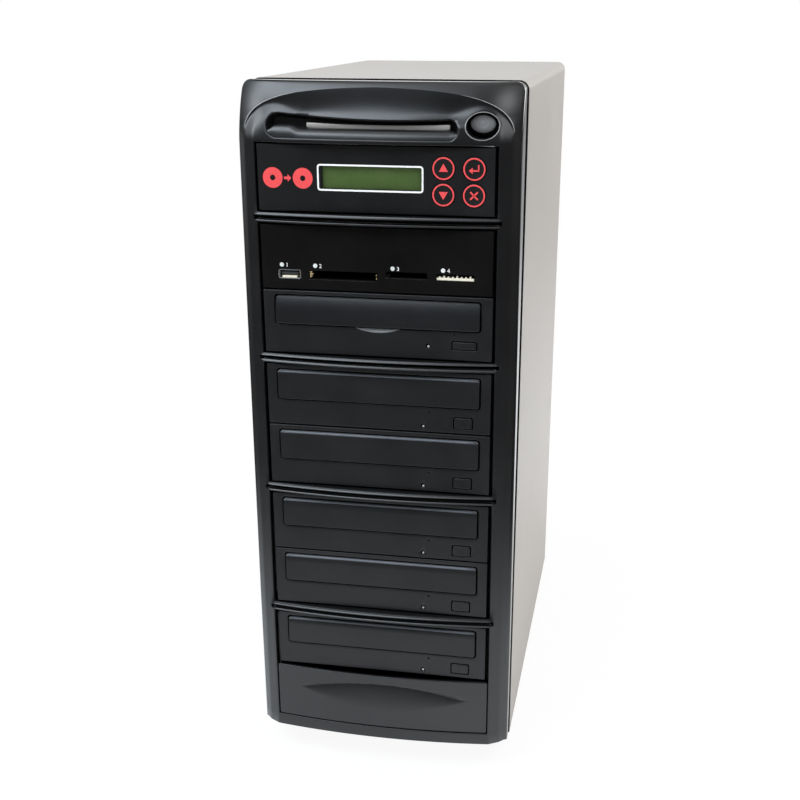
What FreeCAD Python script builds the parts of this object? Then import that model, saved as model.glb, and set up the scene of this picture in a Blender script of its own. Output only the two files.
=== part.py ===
import FreeCAD, Part
import math
import os

Vector = FreeCAD.Vector

# Disc duplicator tower: a steel enclosure with a moulded front, eight half-height units and a supply.
# Millimetres, +Z up, front towards -Y, origin on the floor under the middle of the tower.

# Front openings and the units that stand in them
unit_width = 148.5
unit_height = 40.8
stack_gap = 1.1
divider_gap = 8.3
bay_clearance = 0.7
openings = [["drive_5"], ["drive_4", "drive_3"], ["drive_2", "drive_1"]]
openings += [["drive_0", "reader"], ["controller"]]
drive_count = 6

# Moulded front
side_border = 14.6
crown_height = 36.3
sill_height = 24.0
chin_height = 14.5
bow = 5.1
face_border = 4.0
chamfer_drop = 5.6
bezel_depth = 40.8
bezel_wall = 2.8
lean_height = 41.0
lean_radius = 67.0
corner_radius = 6.0
groove_height = 2.4
groove_depth = 1.4
arch_rise = 14.0
arch_depth = 1.6
arch_inset = 3.0

# Slot and light strip in the crown
slot_left_inset = 20.85
slot_right_inset = 37.85
slot_height = 10.5
slot_lift = 4.2
slot_depth = 12.0
slot_wall = 2.0
strip_width = 89.0
strip_right_gap = 5.4
strip_height = 3.4
strip_thickness = 2.0
strip_lift = 1.1

# Power button and its switch
button_inset = 23.35
button_lift = 11.8
button_hole_width = 20.3
button_hole_height = 16.0
button_width = 15.7
button_height = 11.6
button_clearance = 0.4
button_recess = 10.0
button_travel = 2.5
collar_wall = 2.0
collar_floor = 2.0
button_length = 9.0
switch_depth = 9.0

# Lower cover with a finger scoop
cover_height = 41.0
cover_gap = 2.0
cover_overlap = 2.25
cover_clearance = 0.35
cover_thickness = 5.5
scoop_width = 124.0
scoop_rise = 8.1
scoop_fall = 12.2
scoop_depth = 3.0
scoop_lift = 25.0

# Steel shell and inner frame
shell_depth = 310.0
sheet = 1.0
sheet_gap = 0.2
seam_gap = 0.3
cover_seam = 0.8
pan_flange = 15.0
cover_flange = 11.0
frame_sheet = 1.2
rail_sheet = 1.2
rail_flange = 11.0
rail_setback = 12.0
case_inset = 1.25
rail_gap = 0.25
foot_height = 6.0
foot_radius = 9.0
foot_inset = 22.0

# Drives
drive_depth = 170.0
drive_face = 6.0
case_sheet = 0.8
case_trim = 0.2
tray_rear_gap = 16.4
tray_side = 9.0
tray_height = 8.0
tray_drop = 9.5
tray_gap = 0.3
tray_hold = 12.0
ledge_thickness = 2.0
disc_radius = 60.5
disc_recess = 2.5
disc_setback = 5.0
spindle_radius = 17.0
door_thickness = 4.0
door_proud = 0.4
door_clearance = 0.5
eject_length = 9.0
eject_proud = 0.5
eject_clearance = 0.3
eject_travel = 0.8
drive_led_radius = 1.1
pinhole_radius = 0.6
mechanism_side = 17.0
mechanism_depth = 108.0
mechanism_height = 7.0
spindle_rise = 5.0

# Front panel of the master drive and of the writing drives, measured from the panel's middle and top
door_side = {"master": 7.95, "writer": 7.45}
door_height = {"master": 18.0, "writer": 19.6}
door_top = {"master": 3.4, "writer": 3.7}
eject_x = {"master": 56.6, "writer": 56.4}
eject_drop = {"master": 31.2, "writer": 33.8}
eject_width = {"master": 15.3, "writer": 11.8}
eject_height = {"master": 4.6, "writer": 7.0}
drive_led_x = {"master": 33.3, "writer": 30.1}
drive_led_drop = {"master": 32.2, "writer": 37.0}
pinhole_x = {"master": 50.2, "writer": 34.2}
pinhole_drop = {"master": 24.2, "writer": 27.4}

# Controller unit
plate_thickness = 3.0
display_width = 63.8
display_height = 14.6
display_x = -2.9
display_rise = 20.8
display_recess = 2.0
display_border = 4.0
display_depth = 7.0
display_clearance = 0.2
key_radius = 7.0
key_clearance = 0.25
key_proud = 0.4
key_flange = 0.6
key_flange_thickness = 1.0
key_travel = 0.5
key_stem_radius = 2.0
key_columns = [42.5, 61.3]
key_rows = [12.3, 28.0]
board_thickness = 1.6
key_board_side = 4.25
key_board_rim = 2.4

# Unit trays and boards
unit_tray_depth = 145.0
unit_tray_sheet = 1.0
unit_tray_wall = 30.0
pillar_radius = 3.0
pillar_inset = 10.0
board_side = 10.0
main_board_depth = 88.0
main_board_lift = 6.0
port_width = 7.5
port_height = 8.0
port_depth = 12.0
chip_size = 24.0
chip_height = 3.0
heat_sink_height = 10.0
memory_x = 36.0

# Card reader: left edge, width, bottom above the unit's foot and height of each mouth
usb_mouth = [-63.8, 15.1, 6.2, 6.4]
compact_mouth = [-43.4, 44.1, 6.8, 5.4]
secure_mouth = [6.5, 26.0, 9.4, 3.8]
stick_mouth = [38.5, 23.8, 9.0, 3.9]
card_mouths = [compact_mouth, secure_mouth, stick_mouth]
socket_wall = 0.8
card_depth = 32.0
usb_depth = 16.0
tongue_thickness = 1.8
reader_board_lift = 4.0
reader_board_depth = 70.0
reader_led_radius = 1.0
reader_led_length = 6.0
usb_led_offset = 2.8
card_led_offset = 4.2
reader_led_rise = 15.3

# Power supply and rear panel
supply_side = 13.85
supply_fan_margin = 3.0
supply_depth = 140.0
supply_lip = 4.0
fan_size = 80.0
fan_depth = 25.0
fan_rim = 2.0
fan_tip_gap = 1.5
fan_hub_radius = 19.0
fan_stator_radius = 16.0
fan_stator_depth = 5.0
fan_strut = 5.0
fan_axial_gap = 1.0
shaft_radius = 1.5
shaft_running_gap = 0.05
shaft_depth = 4.0
blade_count = 7
blade_thickness = 1.6
blade_pitch = 38.0
blade_chord = 20.0
guard_wire = 2.0
guard_ring_count = 4
guard_ring_pitch = 9.0
fan_screw_inset = 4.25
supply_fan_inset = 45.0
supply_fan_wall_gap = 0.3
case_fan_rise = 330.0
inlet_inset = 29.0
inlet_rise = 25.0
inlet_width = 30.0
inlet_height = 22.0
inlet_flange = 2.0
inlet_wall = 2.0
inlet_depth = 19.0
blade_pin_width = 2.0
blade_pin_height = 4.0
blade_pin_length = 14.0
blade_pin_spacing = 14.0
earth_pin_rise = 4.0
rocker_rise = 62.0
rocker_width = 13.0
rocker_height = 19.0
rocker_frame = 2.0
rocker_depth = 12.0
rocker_clearance = 0.4
rocker_half_angle = 9.0
pivot_radius = 1.5
pivot_running_gap = 0.06
vent_count = 9
vent_width = 60.0
vent_height = 3.0
vent_pitch = 7.0
vent_top = 40.0

# Fasteners
screw_radius = 1.7
screw_head_radius = 4.0
screw_head_height = 3.0
screw_hole_gap = 0.1
drive_screw_radius = 1.4
drive_screw_head_radius = 2.9
drive_screw_head_height = 1.8
drive_screw_setback = 55.0
drive_screw_spacing = 79.2
drive_screw_lift = 10.0

# Cables behind the drives
data_cable_thickness = 2.0
data_cable_pitch = 11.0
power_cable_width = 14.0
power_cable_thickness = 4.0
power_cable_x = -52.0
plug_height = 6.0

# Levels and planes that follow from the sizes above
shell_bottom = foot_height
rear_projection = max(screw_head_height, guard_wire)
total_depth = bow + bezel_depth + shell_depth + rear_projection
front_y = -total_depth / 2
face_y = front_y + bow
seam_y = face_y + bezel_depth
back_y = seam_y + shell_depth
half_width = unit_width / 2 + side_border
case_width = unit_width - 2 * case_inset
tray_width = case_width - 2 * tray_side
main_board_width = case_width - 2 * board_side
cover_width = unit_width + 2 * cover_overlap
slot_left = slot_left_inset - half_width
slot_right = half_width - slot_right_inset
button_x = half_width - button_inset
supply_width = 2 * (half_width - supply_side)
supply_fan_x = supply_fan_inset - supply_width / 2
inlet_x = supply_width / 2 - inlet_inset
face_half = unit_width / 2 + face_border
face_edge_y = front_y + bow * (2 * face_half / unit_width) ** 2
cover_bottom = shell_bottom + sill_height
cover_top = cover_bottom + cover_height


def unit_levels():
    levels = {}
    level = cover_top + cover_gap
    for opening in openings:
        for unit in opening:
            levels[unit] = level
            level += unit_height + stack_gap
        level += divider_gap - stack_gap
    return levels


unit_bottom = unit_levels()
units = list(unit_bottom)
controller_top = unit_bottom["controller"] + unit_height
shell_top = controller_top + crown_height
pan_top = shell_bottom + sheet
inner_half = half_width - sheet - sheet_gap
frame_y = seam_y + seam_gap
rail_y = frame_y + frame_sheet
rail_inner = case_width / 2 + rail_gap
rail_outer = rail_inner + rail_sheet
drive_back_y = face_y + drive_depth
rail_back_y = drive_back_y - rail_setback
panel_outer_y = back_y - sheet
panel_inner_y = panel_outer_y - sheet
supply_height = fan_size + 2 * supply_fan_margin
supply_bottom = pan_top + sheet_gap
supply_top = supply_bottom + supply_height
supply_front_y = panel_inner_y - supply_depth
supply_fan_z = supply_bottom + supply_height / 2
case_fan_z = shell_bottom + case_fan_rise
fan_bore = fan_size - 2 * fan_rim
fan_screw_spacing = fan_size - 2 * fan_screw_inset
cable_room = supply_front_y - drive_back_y
tray_start_y = face_y - door_proud + door_thickness
tray_length = drive_back_y - tray_rear_gap - tray_start_y
tray_travel = tray_length - tray_hold
disc_centre_y = tray_start_y + disc_setback + disc_radius
eject_back_y = face_y - eject_proud + eject_length
plate_back_y = face_y + plate_thickness
key_board_y = plate_back_y + display_depth


def block(x_low, x_high, y_low, y_high, z_low, z_high):
    corner = Vector(x_low, y_low, z_low)
    return Part.makeBox(x_high - x_low, y_high - y_low, z_high - z_low, corner)


def panel(x, z, width, height, y_low, y_high):
    return block(x - width / 2, x + width / 2, y_low, y_high, z - height / 2, z + height / 2)


def mirrored(shape):
    return shape.mirror(Vector(0, 0, 0), Vector(1, 0, 0))


def rod(radius, x, z, y_low, y_high):
    return Part.makeCylinder(radius, y_high - y_low, Vector(x, y_low, z), Vector(0, 1, 0))


def side_rod(radius, y, z, x_low, x_high):
    return Part.makeCylinder(radius, x_high - x_low, Vector(x_low, y, z), Vector(1, 0, 0))


def post(radius, x, y, z_low, z_high):
    return Part.makeCylinder(radius, z_high - z_low, Vector(x, y, z_low), Vector(0, 0, 1))


def oval(width, height, x, z, y_low, y_high):
    ellipse = Part.Ellipse(Vector(0, 0, 0), width / 2, height / 2)
    face = Part.Face(Part.Wire([ellipse.toShape()]))
    face.rotate(Vector(0, 0, 0), Vector(1, 0, 0), 90)
    face.translate(Vector(x, y_low, z))
    return face.extrude(Vector(0, y_high - y_low, 0))


def side_prism(points, x_low, x_high):
    corners = [Vector(x_low, y, z) for y, z in points]
    face = Part.Face(Part.makePolygon(corners + corners[:1]))
    return face.extrude(Vector(x_high - x_low, 0, 0))


def joined(first, others):
    return first.fuse(others).removeSplitter()


def save(name, shape):
    shape.exportStep("parts/" + name + ".step")


def save_group(name, solids):
    save(name, Part.makeCompound(solids))


def opening_span(opening):
    low = unit_bottom[opening[0]]
    high = unit_bottom[opening[-1]] + unit_height
    return low, high


# Moulded front: bowed in plan, leaning back at the crown, undercut at the chin
def bezel_plan(inset, back):
    edge_y = face_edge_y + inset
    corner_x = half_width - inset
    corner_y = face_edge_y + chamfer_drop + inset
    left = Vector(-face_half, edge_y, 0)
    right = Vector(face_half, edge_y, 0)
    arc = Part.Arc(left, Vector(0, front_y + inset, 0), right).toShape()
    path = [right, Vector(corner_x, corner_y, 0), Vector(corner_x, back, 0)]
    path += [Vector(-corner_x, back, 0), Vector(-corner_x, corner_y, 0), left]
    return Part.Face(Part.Wire([arc] + Part.makePolygon(path).Edges))


def bezel_mass(inset, back):
    axis_y = front_y + lean_radius
    axis_z = shell_top - lean_height
    plan = bezel_plan(inset, axis_y)
    lower = plan.extrude(Vector(0, 0, axis_z))
    plan.translate(Vector(0, 0, axis_z))
    upper = plan.revolve(Vector(0, axis_y, axis_z), Vector(-1, 0, 0), 90)
    level = shell_top - inset
    bounds = block(inset - half_width, half_width - inset, front_y, back, 0, level)
    bounds = top_rounded(bounds, level, max(corner_radius - inset, sheet))
    rim_y = face_edge_y + chamfer_drop
    slope = chin_height / (seam_y - rim_y)
    back_z = shell_bottom + chin_height + inset - slope * (back - rim_y)
    rim_z = shell_bottom + chin_height + inset
    profile = [(front_y, rim_z), (rim_y, rim_z), (back, back_z), (back, shell_top), (front_y, shell_top)]
    return lower.fuse(upper).common(bounds).common(side_prism(profile, -half_width, half_width))


def top_rounded(solid, level, radius):
    boxes = [(edge, edge.BoundBox) for edge in solid.Edges]
    edges = [edge for edge, box in boxes if box.ZMin > level - radius and box.XLength < radius]
    return solid.makeFillet(radius, edges)


def skin_tool(depth, tool):
    return tool.cut(bezel_mass(depth, seam_y))


def arch_region():
    foot = controller_top + bay_clearance
    spring = shell_top - arch_inset - arch_rise
    left = Vector(-face_half, front_y, spring)
    right = Vector(face_half, front_y, spring)
    arc = Part.Arc(right, Vector(0, front_y, shell_top - arch_inset), left).toShape()
    path = [left, Vector(-face_half, front_y, foot), Vector(face_half, front_y, foot), right]
    face = Part.Face(Part.Wire(Part.makePolygon(path).Edges + [arc]))
    return face.extrude(Vector(0, bezel_depth, 0))


def slot_region(grow, y_low, y_high):
    foot = controller_top - bay_clearance + slot_lift - grow
    head = controller_top - bay_clearance + slot_lift + slot_height + grow
    middle = (foot + head) / 2
    half = (head - foot) / 2
    left = slot_left - grow + half
    right = slot_right + grow - half
    body = block(left, right, y_low, y_high, foot, head)
    return body.fuse([rod(half, left, middle, y_low, y_high), rod(half, right, middle, y_low, y_high)])


slot_middle_z = controller_top - bay_clearance + slot_lift + slot_height / 2
slot_floor_y = front_y + slot_depth
button_z = controller_top + button_lift
collar_floor_y = face_y + button_recess
button_front_y = collar_floor_y - collar_floor
button_back_y = button_front_y + button_length
collar_back_y = button_back_y + button_travel + button_clearance


def bay_window(opening):
    low, high = opening_span(opening)
    half = unit_width / 2 + bay_clearance
    return block(-half, half, front_y, seam_y, low - bay_clearance, high + bay_clearance)


def divider_groove(lower_opening, upper_opening):
    middle = (opening_span(lower_opening)[1] + opening_span(upper_opening)[0]) / 2
    half = unit_width / 2 + bay_clearance
    band = block(-half, half, front_y, seam_y, middle - groove_height / 2, middle + groove_height / 2)
    return skin_tool(groove_depth, band)


def front_bezel():
    back = seam_y
    shell = bezel_mass(0, back).cut(bezel_mass(bezel_wall, back + bezel_wall))
    solid = bezel_mass(bezel_wall / 2, back)
    pocket = slot_region(slot_wall, front_y, slot_floor_y + slot_wall)
    collar = oval(button_hole_width + 2 * collar_wall, button_hole_height + 2 * collar_wall,
                  button_x, button_z, front_y, collar_back_y)
    shell = joined(shell, [pocket.common(solid), collar.common(solid)])
    shell = shell.cut(skin_tool(arch_depth, arch_region()))
    cuts = [slot_region(0, front_y, slot_floor_y)]
    cuts.append(oval(button_hole_width, button_hole_height, button_x, button_z, front_y, collar_floor_y))
    bore_width = button_width + 2 * button_clearance
    bore_height = button_height + 2 * button_clearance
    cuts.append(oval(bore_width, bore_height, button_x, button_z, front_y, seam_y))
    cuts += [bay_window(opening) for opening in openings]
    cover_half = cover_width / 2 + cover_clearance
    window_top = opening_span(openings[0])[0] - bay_clearance
    cuts.append(block(-cover_half, cover_half, front_y, seam_y, cover_bottom - cover_clearance, window_top))
    for lower_opening, upper_opening in zip(openings, openings[1:]):
        cuts.append(divider_groove(lower_opening, upper_opening))
    return shell.cut(cuts).removeSplitter()


def light_strip():
    middle = slot_right - strip_right_gap - strip_width / 2
    front = slot_floor_y - strip_thickness
    return panel(middle, slot_middle_z + strip_lift, strip_width, strip_height, front, slot_floor_y)


def power_button():
    return oval(button_width, button_height, button_x, button_z, button_front_y, button_back_y)


def power_switch():
    width = button_hole_width + 2 * collar_wall
    height = button_hole_height + 2 * collar_wall
    return panel(button_x, button_z, width, height, collar_back_y, collar_back_y + switch_depth)


def lower_bay_cover():
    half = cover_width / 2
    skin = block(-half, half, front_y, front_y + bow + cover_thickness, cover_bottom, cover_top)
    panel = skin.common(bezel_mass(cover_clearance, seam_y))
    lip = cover_bottom + scoop_lift
    left = Vector(-scoop_width / 2, front_y, lip)
    right = Vector(scoop_width / 2, front_y, lip)
    brow = Part.Arc(right, Vector(0, front_y, lip + scoop_rise), left).toShape()
    foot = Part.Arc(left, Vector(0, front_y, lip - scoop_fall), right).toShape()
    lens = Part.Face(Part.Wire([brow, foot]))
    return panel.cut(skin_tool(scoop_depth, lens.extrude(Vector(0, bow + cover_thickness, 0))))


# Steel shell, pan, frames and rails
def outer_cover():
    start = seam_y + cover_seam
    outer = block(-half_width, half_width, start, back_y, shell_bottom, shell_top)
    level = shell_top - sheet
    inner = block(sheet - half_width, half_width - sheet, start, back_y, 0, level)
    outer = top_rounded(outer, shell_top, corner_radius)
    shell = outer.cut(top_rounded(inner, level, max(corner_radius - sheet, sheet)))
    side = half_width - sheet / 2
    reach = half_width - cover_flange
    rim = level - corner_radius
    flanges = [block(reach, side, panel_outer_y, back_y, shell_bottom, rim)]
    flanges.append(block(-side, -reach, panel_outer_y, back_y, shell_bottom, rim))
    shell = joined(shell, flanges)
    return shell.cut([panel_screw_hole(x, z) for x, z in cover_screw_places()])


def base_pan():
    back = panel_inner_y - sheet_gap
    floor = block(-inner_half, inner_half, frame_y, back, shell_bottom, pan_top)
    low = inner_half - sheet
    walls = [block(low, inner_half, frame_y, back, shell_bottom, shell_bottom + pan_flange)]
    walls.append(block(-inner_half, -low, frame_y, back, shell_bottom, shell_bottom + pan_flange))
    return joined(floor, walls)


def front_frame():
    low = pan_top + sheet_gap
    half = inner_half - sheet - sheet_gap
    plate = block(-half, half, frame_y, rail_y, low, shell_top - corner_radius)
    window_low = cover_bottom - cover_clearance
    window = block(-rail_inner, rail_inner, frame_y, rail_y, window_low, controller_top + bay_clearance)
    collar = oval(button_hole_width + 4 * collar_wall, button_hole_height + 4 * collar_wall,
                  button_x, button_z, frame_y, rail_y)
    return plate.cut([window, collar])


def drive_rail(side):
    low = pan_top + sheet_gap
    high = controller_top
    plate = block(rail_inner, rail_outer, rail_y, rail_back_y, low, high)
    tab = block(rail_inner, rail_inner + rail_flange, rail_y, rail_y + rail_sheet, low, high)
    foot = block(rail_inner, rail_inner + rail_flange, rail_y, rail_back_y, low, low + rail_sheet)
    rail = joined(plate, [tab, foot])
    holes = [side_rod(drive_screw_radius + screw_hole_gap, y, z, rail_inner, rail_outer)
             for unit in units for y, z in drive_screw_places(unit)]
    rail = rail.cut(holes)
    return rail if side > 0 else mirrored(rail)


def drive_screw_places(unit):
    level = unit_bottom[unit] + drive_screw_lift
    first = face_y + drive_screw_setback
    return [(first, level), (first + drive_screw_spacing, level)]


def drive_screws():
    screws = []
    for unit in units:
        for y, z in drive_screw_places(unit):
            shank = side_rod(drive_screw_radius, y, z, case_width / 2 - case_sheet, rail_outer)
            head = side_rod(drive_screw_head_radius, y, z, rail_outer, rail_outer + drive_screw_head_height)
            screw = joined(shank, [head])
            screws.append(screw)
            screws.append(mirrored(screw))
    return screws


def rear_panel():
    low = pan_top + sheet_gap
    half = inner_half - sheet_gap
    sheet_face = block(-half, half, panel_inner_y, panel_outer_y, low, shell_top - corner_radius)
    edge = supply_width / 2 - supply_lip
    cuts = [panel(0, supply_fan_z, 2 * edge, supply_height - 2 * supply_lip, panel_inner_y, panel_outer_y)]
    cuts.append(rod(fan_bore / 2, 0, case_fan_z, panel_inner_y, panel_outer_y))
    for index in range(vent_count):
        level = shell_top - vent_top - index * vent_pitch
        if level - vent_height > case_fan_z + fan_size / 2:
            middle = level - vent_height / 2
            cuts.append(panel(0, middle, vent_width, vent_height, panel_inner_y, panel_outer_y))
    places = cover_screw_places() + supply_screw_places() + case_fan_screw_places()
    cuts += [panel_screw_hole(x, z) for x, z in places]
    return sheet_face.cut(cuts)


def cover_screw_places():
    column = half_width - cover_flange / 2 - sheet / 2
    low = shell_bottom + pan_flange + screw_head_radius
    high = shell_top - 2 * corner_radius - screw_head_radius
    return [(side * column, z) for side in (-1, 1) for z in (low, (low + high) / 2, high)]


def supply_screw_places():
    column = supply_width / 2 - supply_lip / 2
    rows = (supply_bottom + 2 * supply_lip, supply_top - 2 * supply_lip)
    return [(side * column, z) for side in (-1, 1) for z in rows]


def case_fan_screw_places():
    half = fan_screw_spacing / 2
    return [(x, case_fan_z + z) for x in (-half, half) for z in (-half, half)]


def panel_screw_hole(x, z):
    return rod(screw_radius + screw_hole_gap, x, z, panel_inner_y, back_y)


def panel_screw(x, z, seat_y):
    shank = rod(screw_radius, x, z, panel_inner_y, seat_y)
    head = rod(screw_head_radius, x, z, seat_y, seat_y + screw_head_height)
    return joined(shank, [head])


def panel_screws():
    screws = [panel_screw(x, z, back_y) for x, z in cover_screw_places()]
    screws += [panel_screw(x, z, panel_outer_y) for x, z in supply_screw_places() + case_fan_screw_places()]
    return screws


def rubber_feet():
    column = half_width - foot_inset
    rows = (seam_y + foot_inset, panel_inner_y - foot_inset)
    return [post(foot_radius, side * column, y, 0, foot_height) for side in (-1, 1) for y in rows]


# Drives
def style(index):
    return "master" if index == 0 else "writer"


def door_width(kind):
    return unit_width - 2 * door_side[kind]


def drive_name(index):
    return "drive_" + str(index)


def drive_top(index):
    return unit_bottom[drive_name(index)] + unit_height


def door_middle(index):
    kind = style(index)
    return drive_top(index) - door_top[kind] - door_height[kind] / 2


def tray_level(index):
    return drive_top(index) - tray_drop - tray_height


def drive_front_y():
    return face_y + drive_face


def drive_case(index):
    low = unit_bottom[drive_name(index)] + case_trim
    high = drive_top(index) - case_trim
    half = case_width / 2
    start = drive_front_y()
    inner_back = drive_back_y - case_sheet
    outer = block(-half, half, start, drive_back_y, low, high)
    inner_half = half - case_sheet
    case = outer.cut(block(-inner_half, inner_half, start, inner_back, low + case_sheet, high - case_sheet))
    ledge_top = tray_level(index) - tray_gap
    reach = tray_width / 2 - 2 * tray_gap - ledge_thickness
    ledge = block(reach, half - case_sheet / 2, start, inner_back, ledge_top - ledge_thickness, ledge_top)
    case = joined(case, [ledge, mirrored(ledge)])
    holes = [side_rod(drive_screw_radius + screw_hole_gap / 2, y, z, -half, case_sheet - half)
             for y, z in drive_screw_places(drive_name(index))]
    holes += [mirrored(hole) for hole in holes]
    return case.cut(holes)


def drive_mechanism(index):
    low = unit_bottom[drive_name(index)] + case_trim + case_sheet
    half = case_width / 2 - mechanism_side
    start = eject_back_y + eject_travel + eject_clearance
    top = low + mechanism_height
    deck = block(-half, half, start, start + mechanism_depth, low, top)
    hub = post(spindle_radius - case_sheet, 0, disc_centre_y, top, top + spindle_rise)
    return joined(deck, [hub])


def drive_bezel(index):
    kind = style(index)
    low = unit_bottom[drive_name(index)]
    high = drive_top(index)
    half = unit_width / 2
    end = drive_front_y()
    face = block(-half, half, face_y, end, low, high)
    width = door_width(kind) + 2 * door_clearance
    cuts = [panel(0, door_middle(index), width, door_height[kind] + 2 * door_clearance, face_y, end)]
    width = eject_width[kind] + 2 * eject_clearance
    height = eject_height[kind] + 2 * eject_clearance
    cuts.append(panel(eject_x[kind], high - eject_drop[kind], width, height, face_y, end))
    cuts.append(rod(drive_led_radius, drive_led_x[kind], high - drive_led_drop[kind], face_y, end))
    cuts.append(rod(pinhole_radius, pinhole_x[kind], high - pinhole_drop[kind], face_y, end))
    return face.cut(cuts)


def disc_tray(index):
    low = tray_level(index)
    half = tray_width / 2
    start = tray_start_y
    plate = block(-half, half, start, start + tray_length, low, low + tray_height)
    centre = disc_centre_y
    top = low + tray_height
    well = post(disc_radius, 0, centre, top - disc_recess, top)
    hub = post(spindle_radius, 0, centre, low, top)
    slot = block(-spindle_radius, spindle_radius, centre, centre + disc_radius - spindle_radius, low, top)
    return plate.cut([well, hub, slot])


def tray_door(index):
    kind = style(index)
    front = face_y - door_proud
    return panel(0, door_middle(index), door_width(kind), door_height[kind], front, tray_start_y)


def eject_button(index):
    kind = style(index)
    level = drive_top(index) - eject_drop[kind]
    front = face_y - eject_proud
    return panel(eject_x[kind], level, eject_width[kind], eject_height[kind], front, eject_back_y)


def drive_led(index):
    kind = style(index)
    level = drive_top(index) - drive_led_drop[kind]
    return rod(drive_led_radius, drive_led_x[kind], level, face_y, drive_front_y())


# Controller unit
def display_block(grow, y_low, y_high):
    z = unit_bottom["controller"] + display_rise
    return panel(display_x, z, display_width + 2 * grow, display_height + 2 * grow, y_low, y_high)


def key_places():
    return [(x, unit_bottom["controller"] + z) for z in reversed(key_rows) for x in key_columns]


def controller_faceplate():
    half = unit_width / 2
    low = unit_bottom["controller"]
    plate = block(-half, half, face_y, plate_back_y, low, low + unit_height)
    cuts = [display_block(0, face_y, plate_back_y)]
    cuts += [rod(key_radius + key_clearance, x, z, face_y, plate_back_y) for x, z in key_places()]
    return plate.cut(cuts)


def display_module():
    pane = display_block(-display_clearance, face_y + display_recess, plate_back_y)
    return joined(pane, [display_block(display_border, plate_back_y, key_board_y)])


def key_board():
    middle = unit_bottom["controller"] + unit_height / 2
    return panel(0, middle, unit_width - 2 * key_board_side, unit_height - 2 * key_board_rim,
                 key_board_y, key_board_y + board_thickness)


def key(x, z):
    flange_y = plate_back_y + key_clearance
    cap = rod(key_radius, x, z, face_y - key_proud, flange_y)
    flange = rod(key_radius + key_flange, x, z, flange_y, flange_y + key_flange_thickness)
    stem = rod(key_stem_radius, x, z, flange_y, key_board_y - key_travel - key_clearance)
    return joined(cap, [flange, stem])


# Trays and boards of the controller and the card reader
def unit_tray(unit, board_depth, board_lift):
    half = case_width / 2
    start = key_board_y + board_thickness + sheet_gap
    end = face_y + unit_tray_depth
    low = unit_bottom[unit] + case_trim
    floor = block(-half, half, start, end, low, low + unit_tray_sheet)
    wall = block(half - unit_tray_sheet, half, start, end, low, low + unit_tray_wall)
    others = [wall, mirrored(wall)]
    for x in (pillar_inset - main_board_width / 2, main_board_width / 2 - pillar_inset):
        for y in (end - pillar_inset, end - board_depth + pillar_inset):
            others.append(post(pillar_radius, x, y, low, unit_bottom[unit] + board_lift))
    tray = joined(floor, others)
    holes = [side_rod(drive_screw_radius + screw_hole_gap / 2, y, z, -half, unit_tray_sheet - half)
             for y, z in drive_screw_places(unit)]
    holes += [mirrored(hole) for hole in holes]
    return tray.cut(holes)


def main_board():
    low = unit_bottom["controller"] + main_board_lift
    end = face_y + unit_tray_depth
    half = main_board_width / 2
    board = block(-half, half, end - main_board_depth, end, low, low + board_thickness)
    top = low + board_thickness
    others = []
    for index in range(drive_count):
        x = data_cable_x(index)
        others.append(panel(x, top + port_height / 2, port_width, port_height, end - port_depth, end))
    back = end - main_board_depth / 2
    front = back - chip_size
    others.append(panel(0, top + heat_sink_height / 2, chip_size, heat_sink_height, front, back))
    for x in (-memory_x, memory_x):
        others.append(panel(x, top + chip_height / 2, chip_size / 2, chip_height, front, back))
    return joined(board, others)


def reader_led_columns():
    return [usb_mouth[0] + usb_led_offset] + [mouth[0] + card_led_offset for mouth in card_mouths]


def reader_board_top():
    return unit_bottom["reader"] + reader_board_lift + board_thickness


def reader_faceplate():
    half = unit_width / 2
    low = unit_bottom["reader"]
    plate = block(-half, half, face_y, plate_back_y, low, low + unit_height)
    cuts = [mouth_box(usb_mouth, sheet_gap, face_y, plate_back_y)]
    cuts += [mouth_box(mouth, 0, face_y, plate_back_y) for mouth in card_mouths]
    level = low + reader_led_rise
    cuts += [rod(reader_led_radius, x, level, face_y, plate_back_y) for x in reader_led_columns()]
    return plate.cut(cuts)


def mouth_box(mouth, grow, y_low, y_high):
    left, width, rise, height = mouth
    low = unit_bottom["reader"] + rise
    return block(left - grow, left + width + grow, y_low, y_high, low - grow, low + height + grow)


def socket(mouth):
    left, width, rise, height = mouth
    low = unit_bottom["reader"] + rise
    end = plate_back_y + card_depth
    outer = block(left - socket_wall, left + width + socket_wall, plate_back_y, end,
                  reader_board_top(), low + height + socket_wall)
    return outer.cut(mouth_box(mouth, 0, plate_back_y, end - socket_wall))


def usb_socket():
    left, width, rise, height = usb_mouth
    low = unit_bottom["reader"] + rise
    end = face_y + usb_depth
    hollow = mouth_box(usb_mouth, -socket_wall, face_y, end - socket_wall)
    shell = mouth_box(usb_mouth, 0, face_y, end).cut(hollow)
    base = block(left, left + width, plate_back_y, end, reader_board_top(), low + socket_wall)
    high = low + height - socket_wall
    tongue = block(left + 2 * socket_wall, left + width - 2 * socket_wall, face_y + socket_wall, end,
                   high - tongue_thickness - socket_wall / 2, high - socket_wall / 2)
    return joined(shell, [base, tongue])


def reader_board():
    half = main_board_width / 2
    top = reader_board_top()
    return block(-half, half, plate_back_y, face_y + unit_tray_depth, top - board_thickness, top)


def reader_led(x):
    level = unit_bottom["reader"] + reader_led_rise
    return rod(reader_led_radius, x, level, face_y, face_y + reader_led_length)


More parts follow.
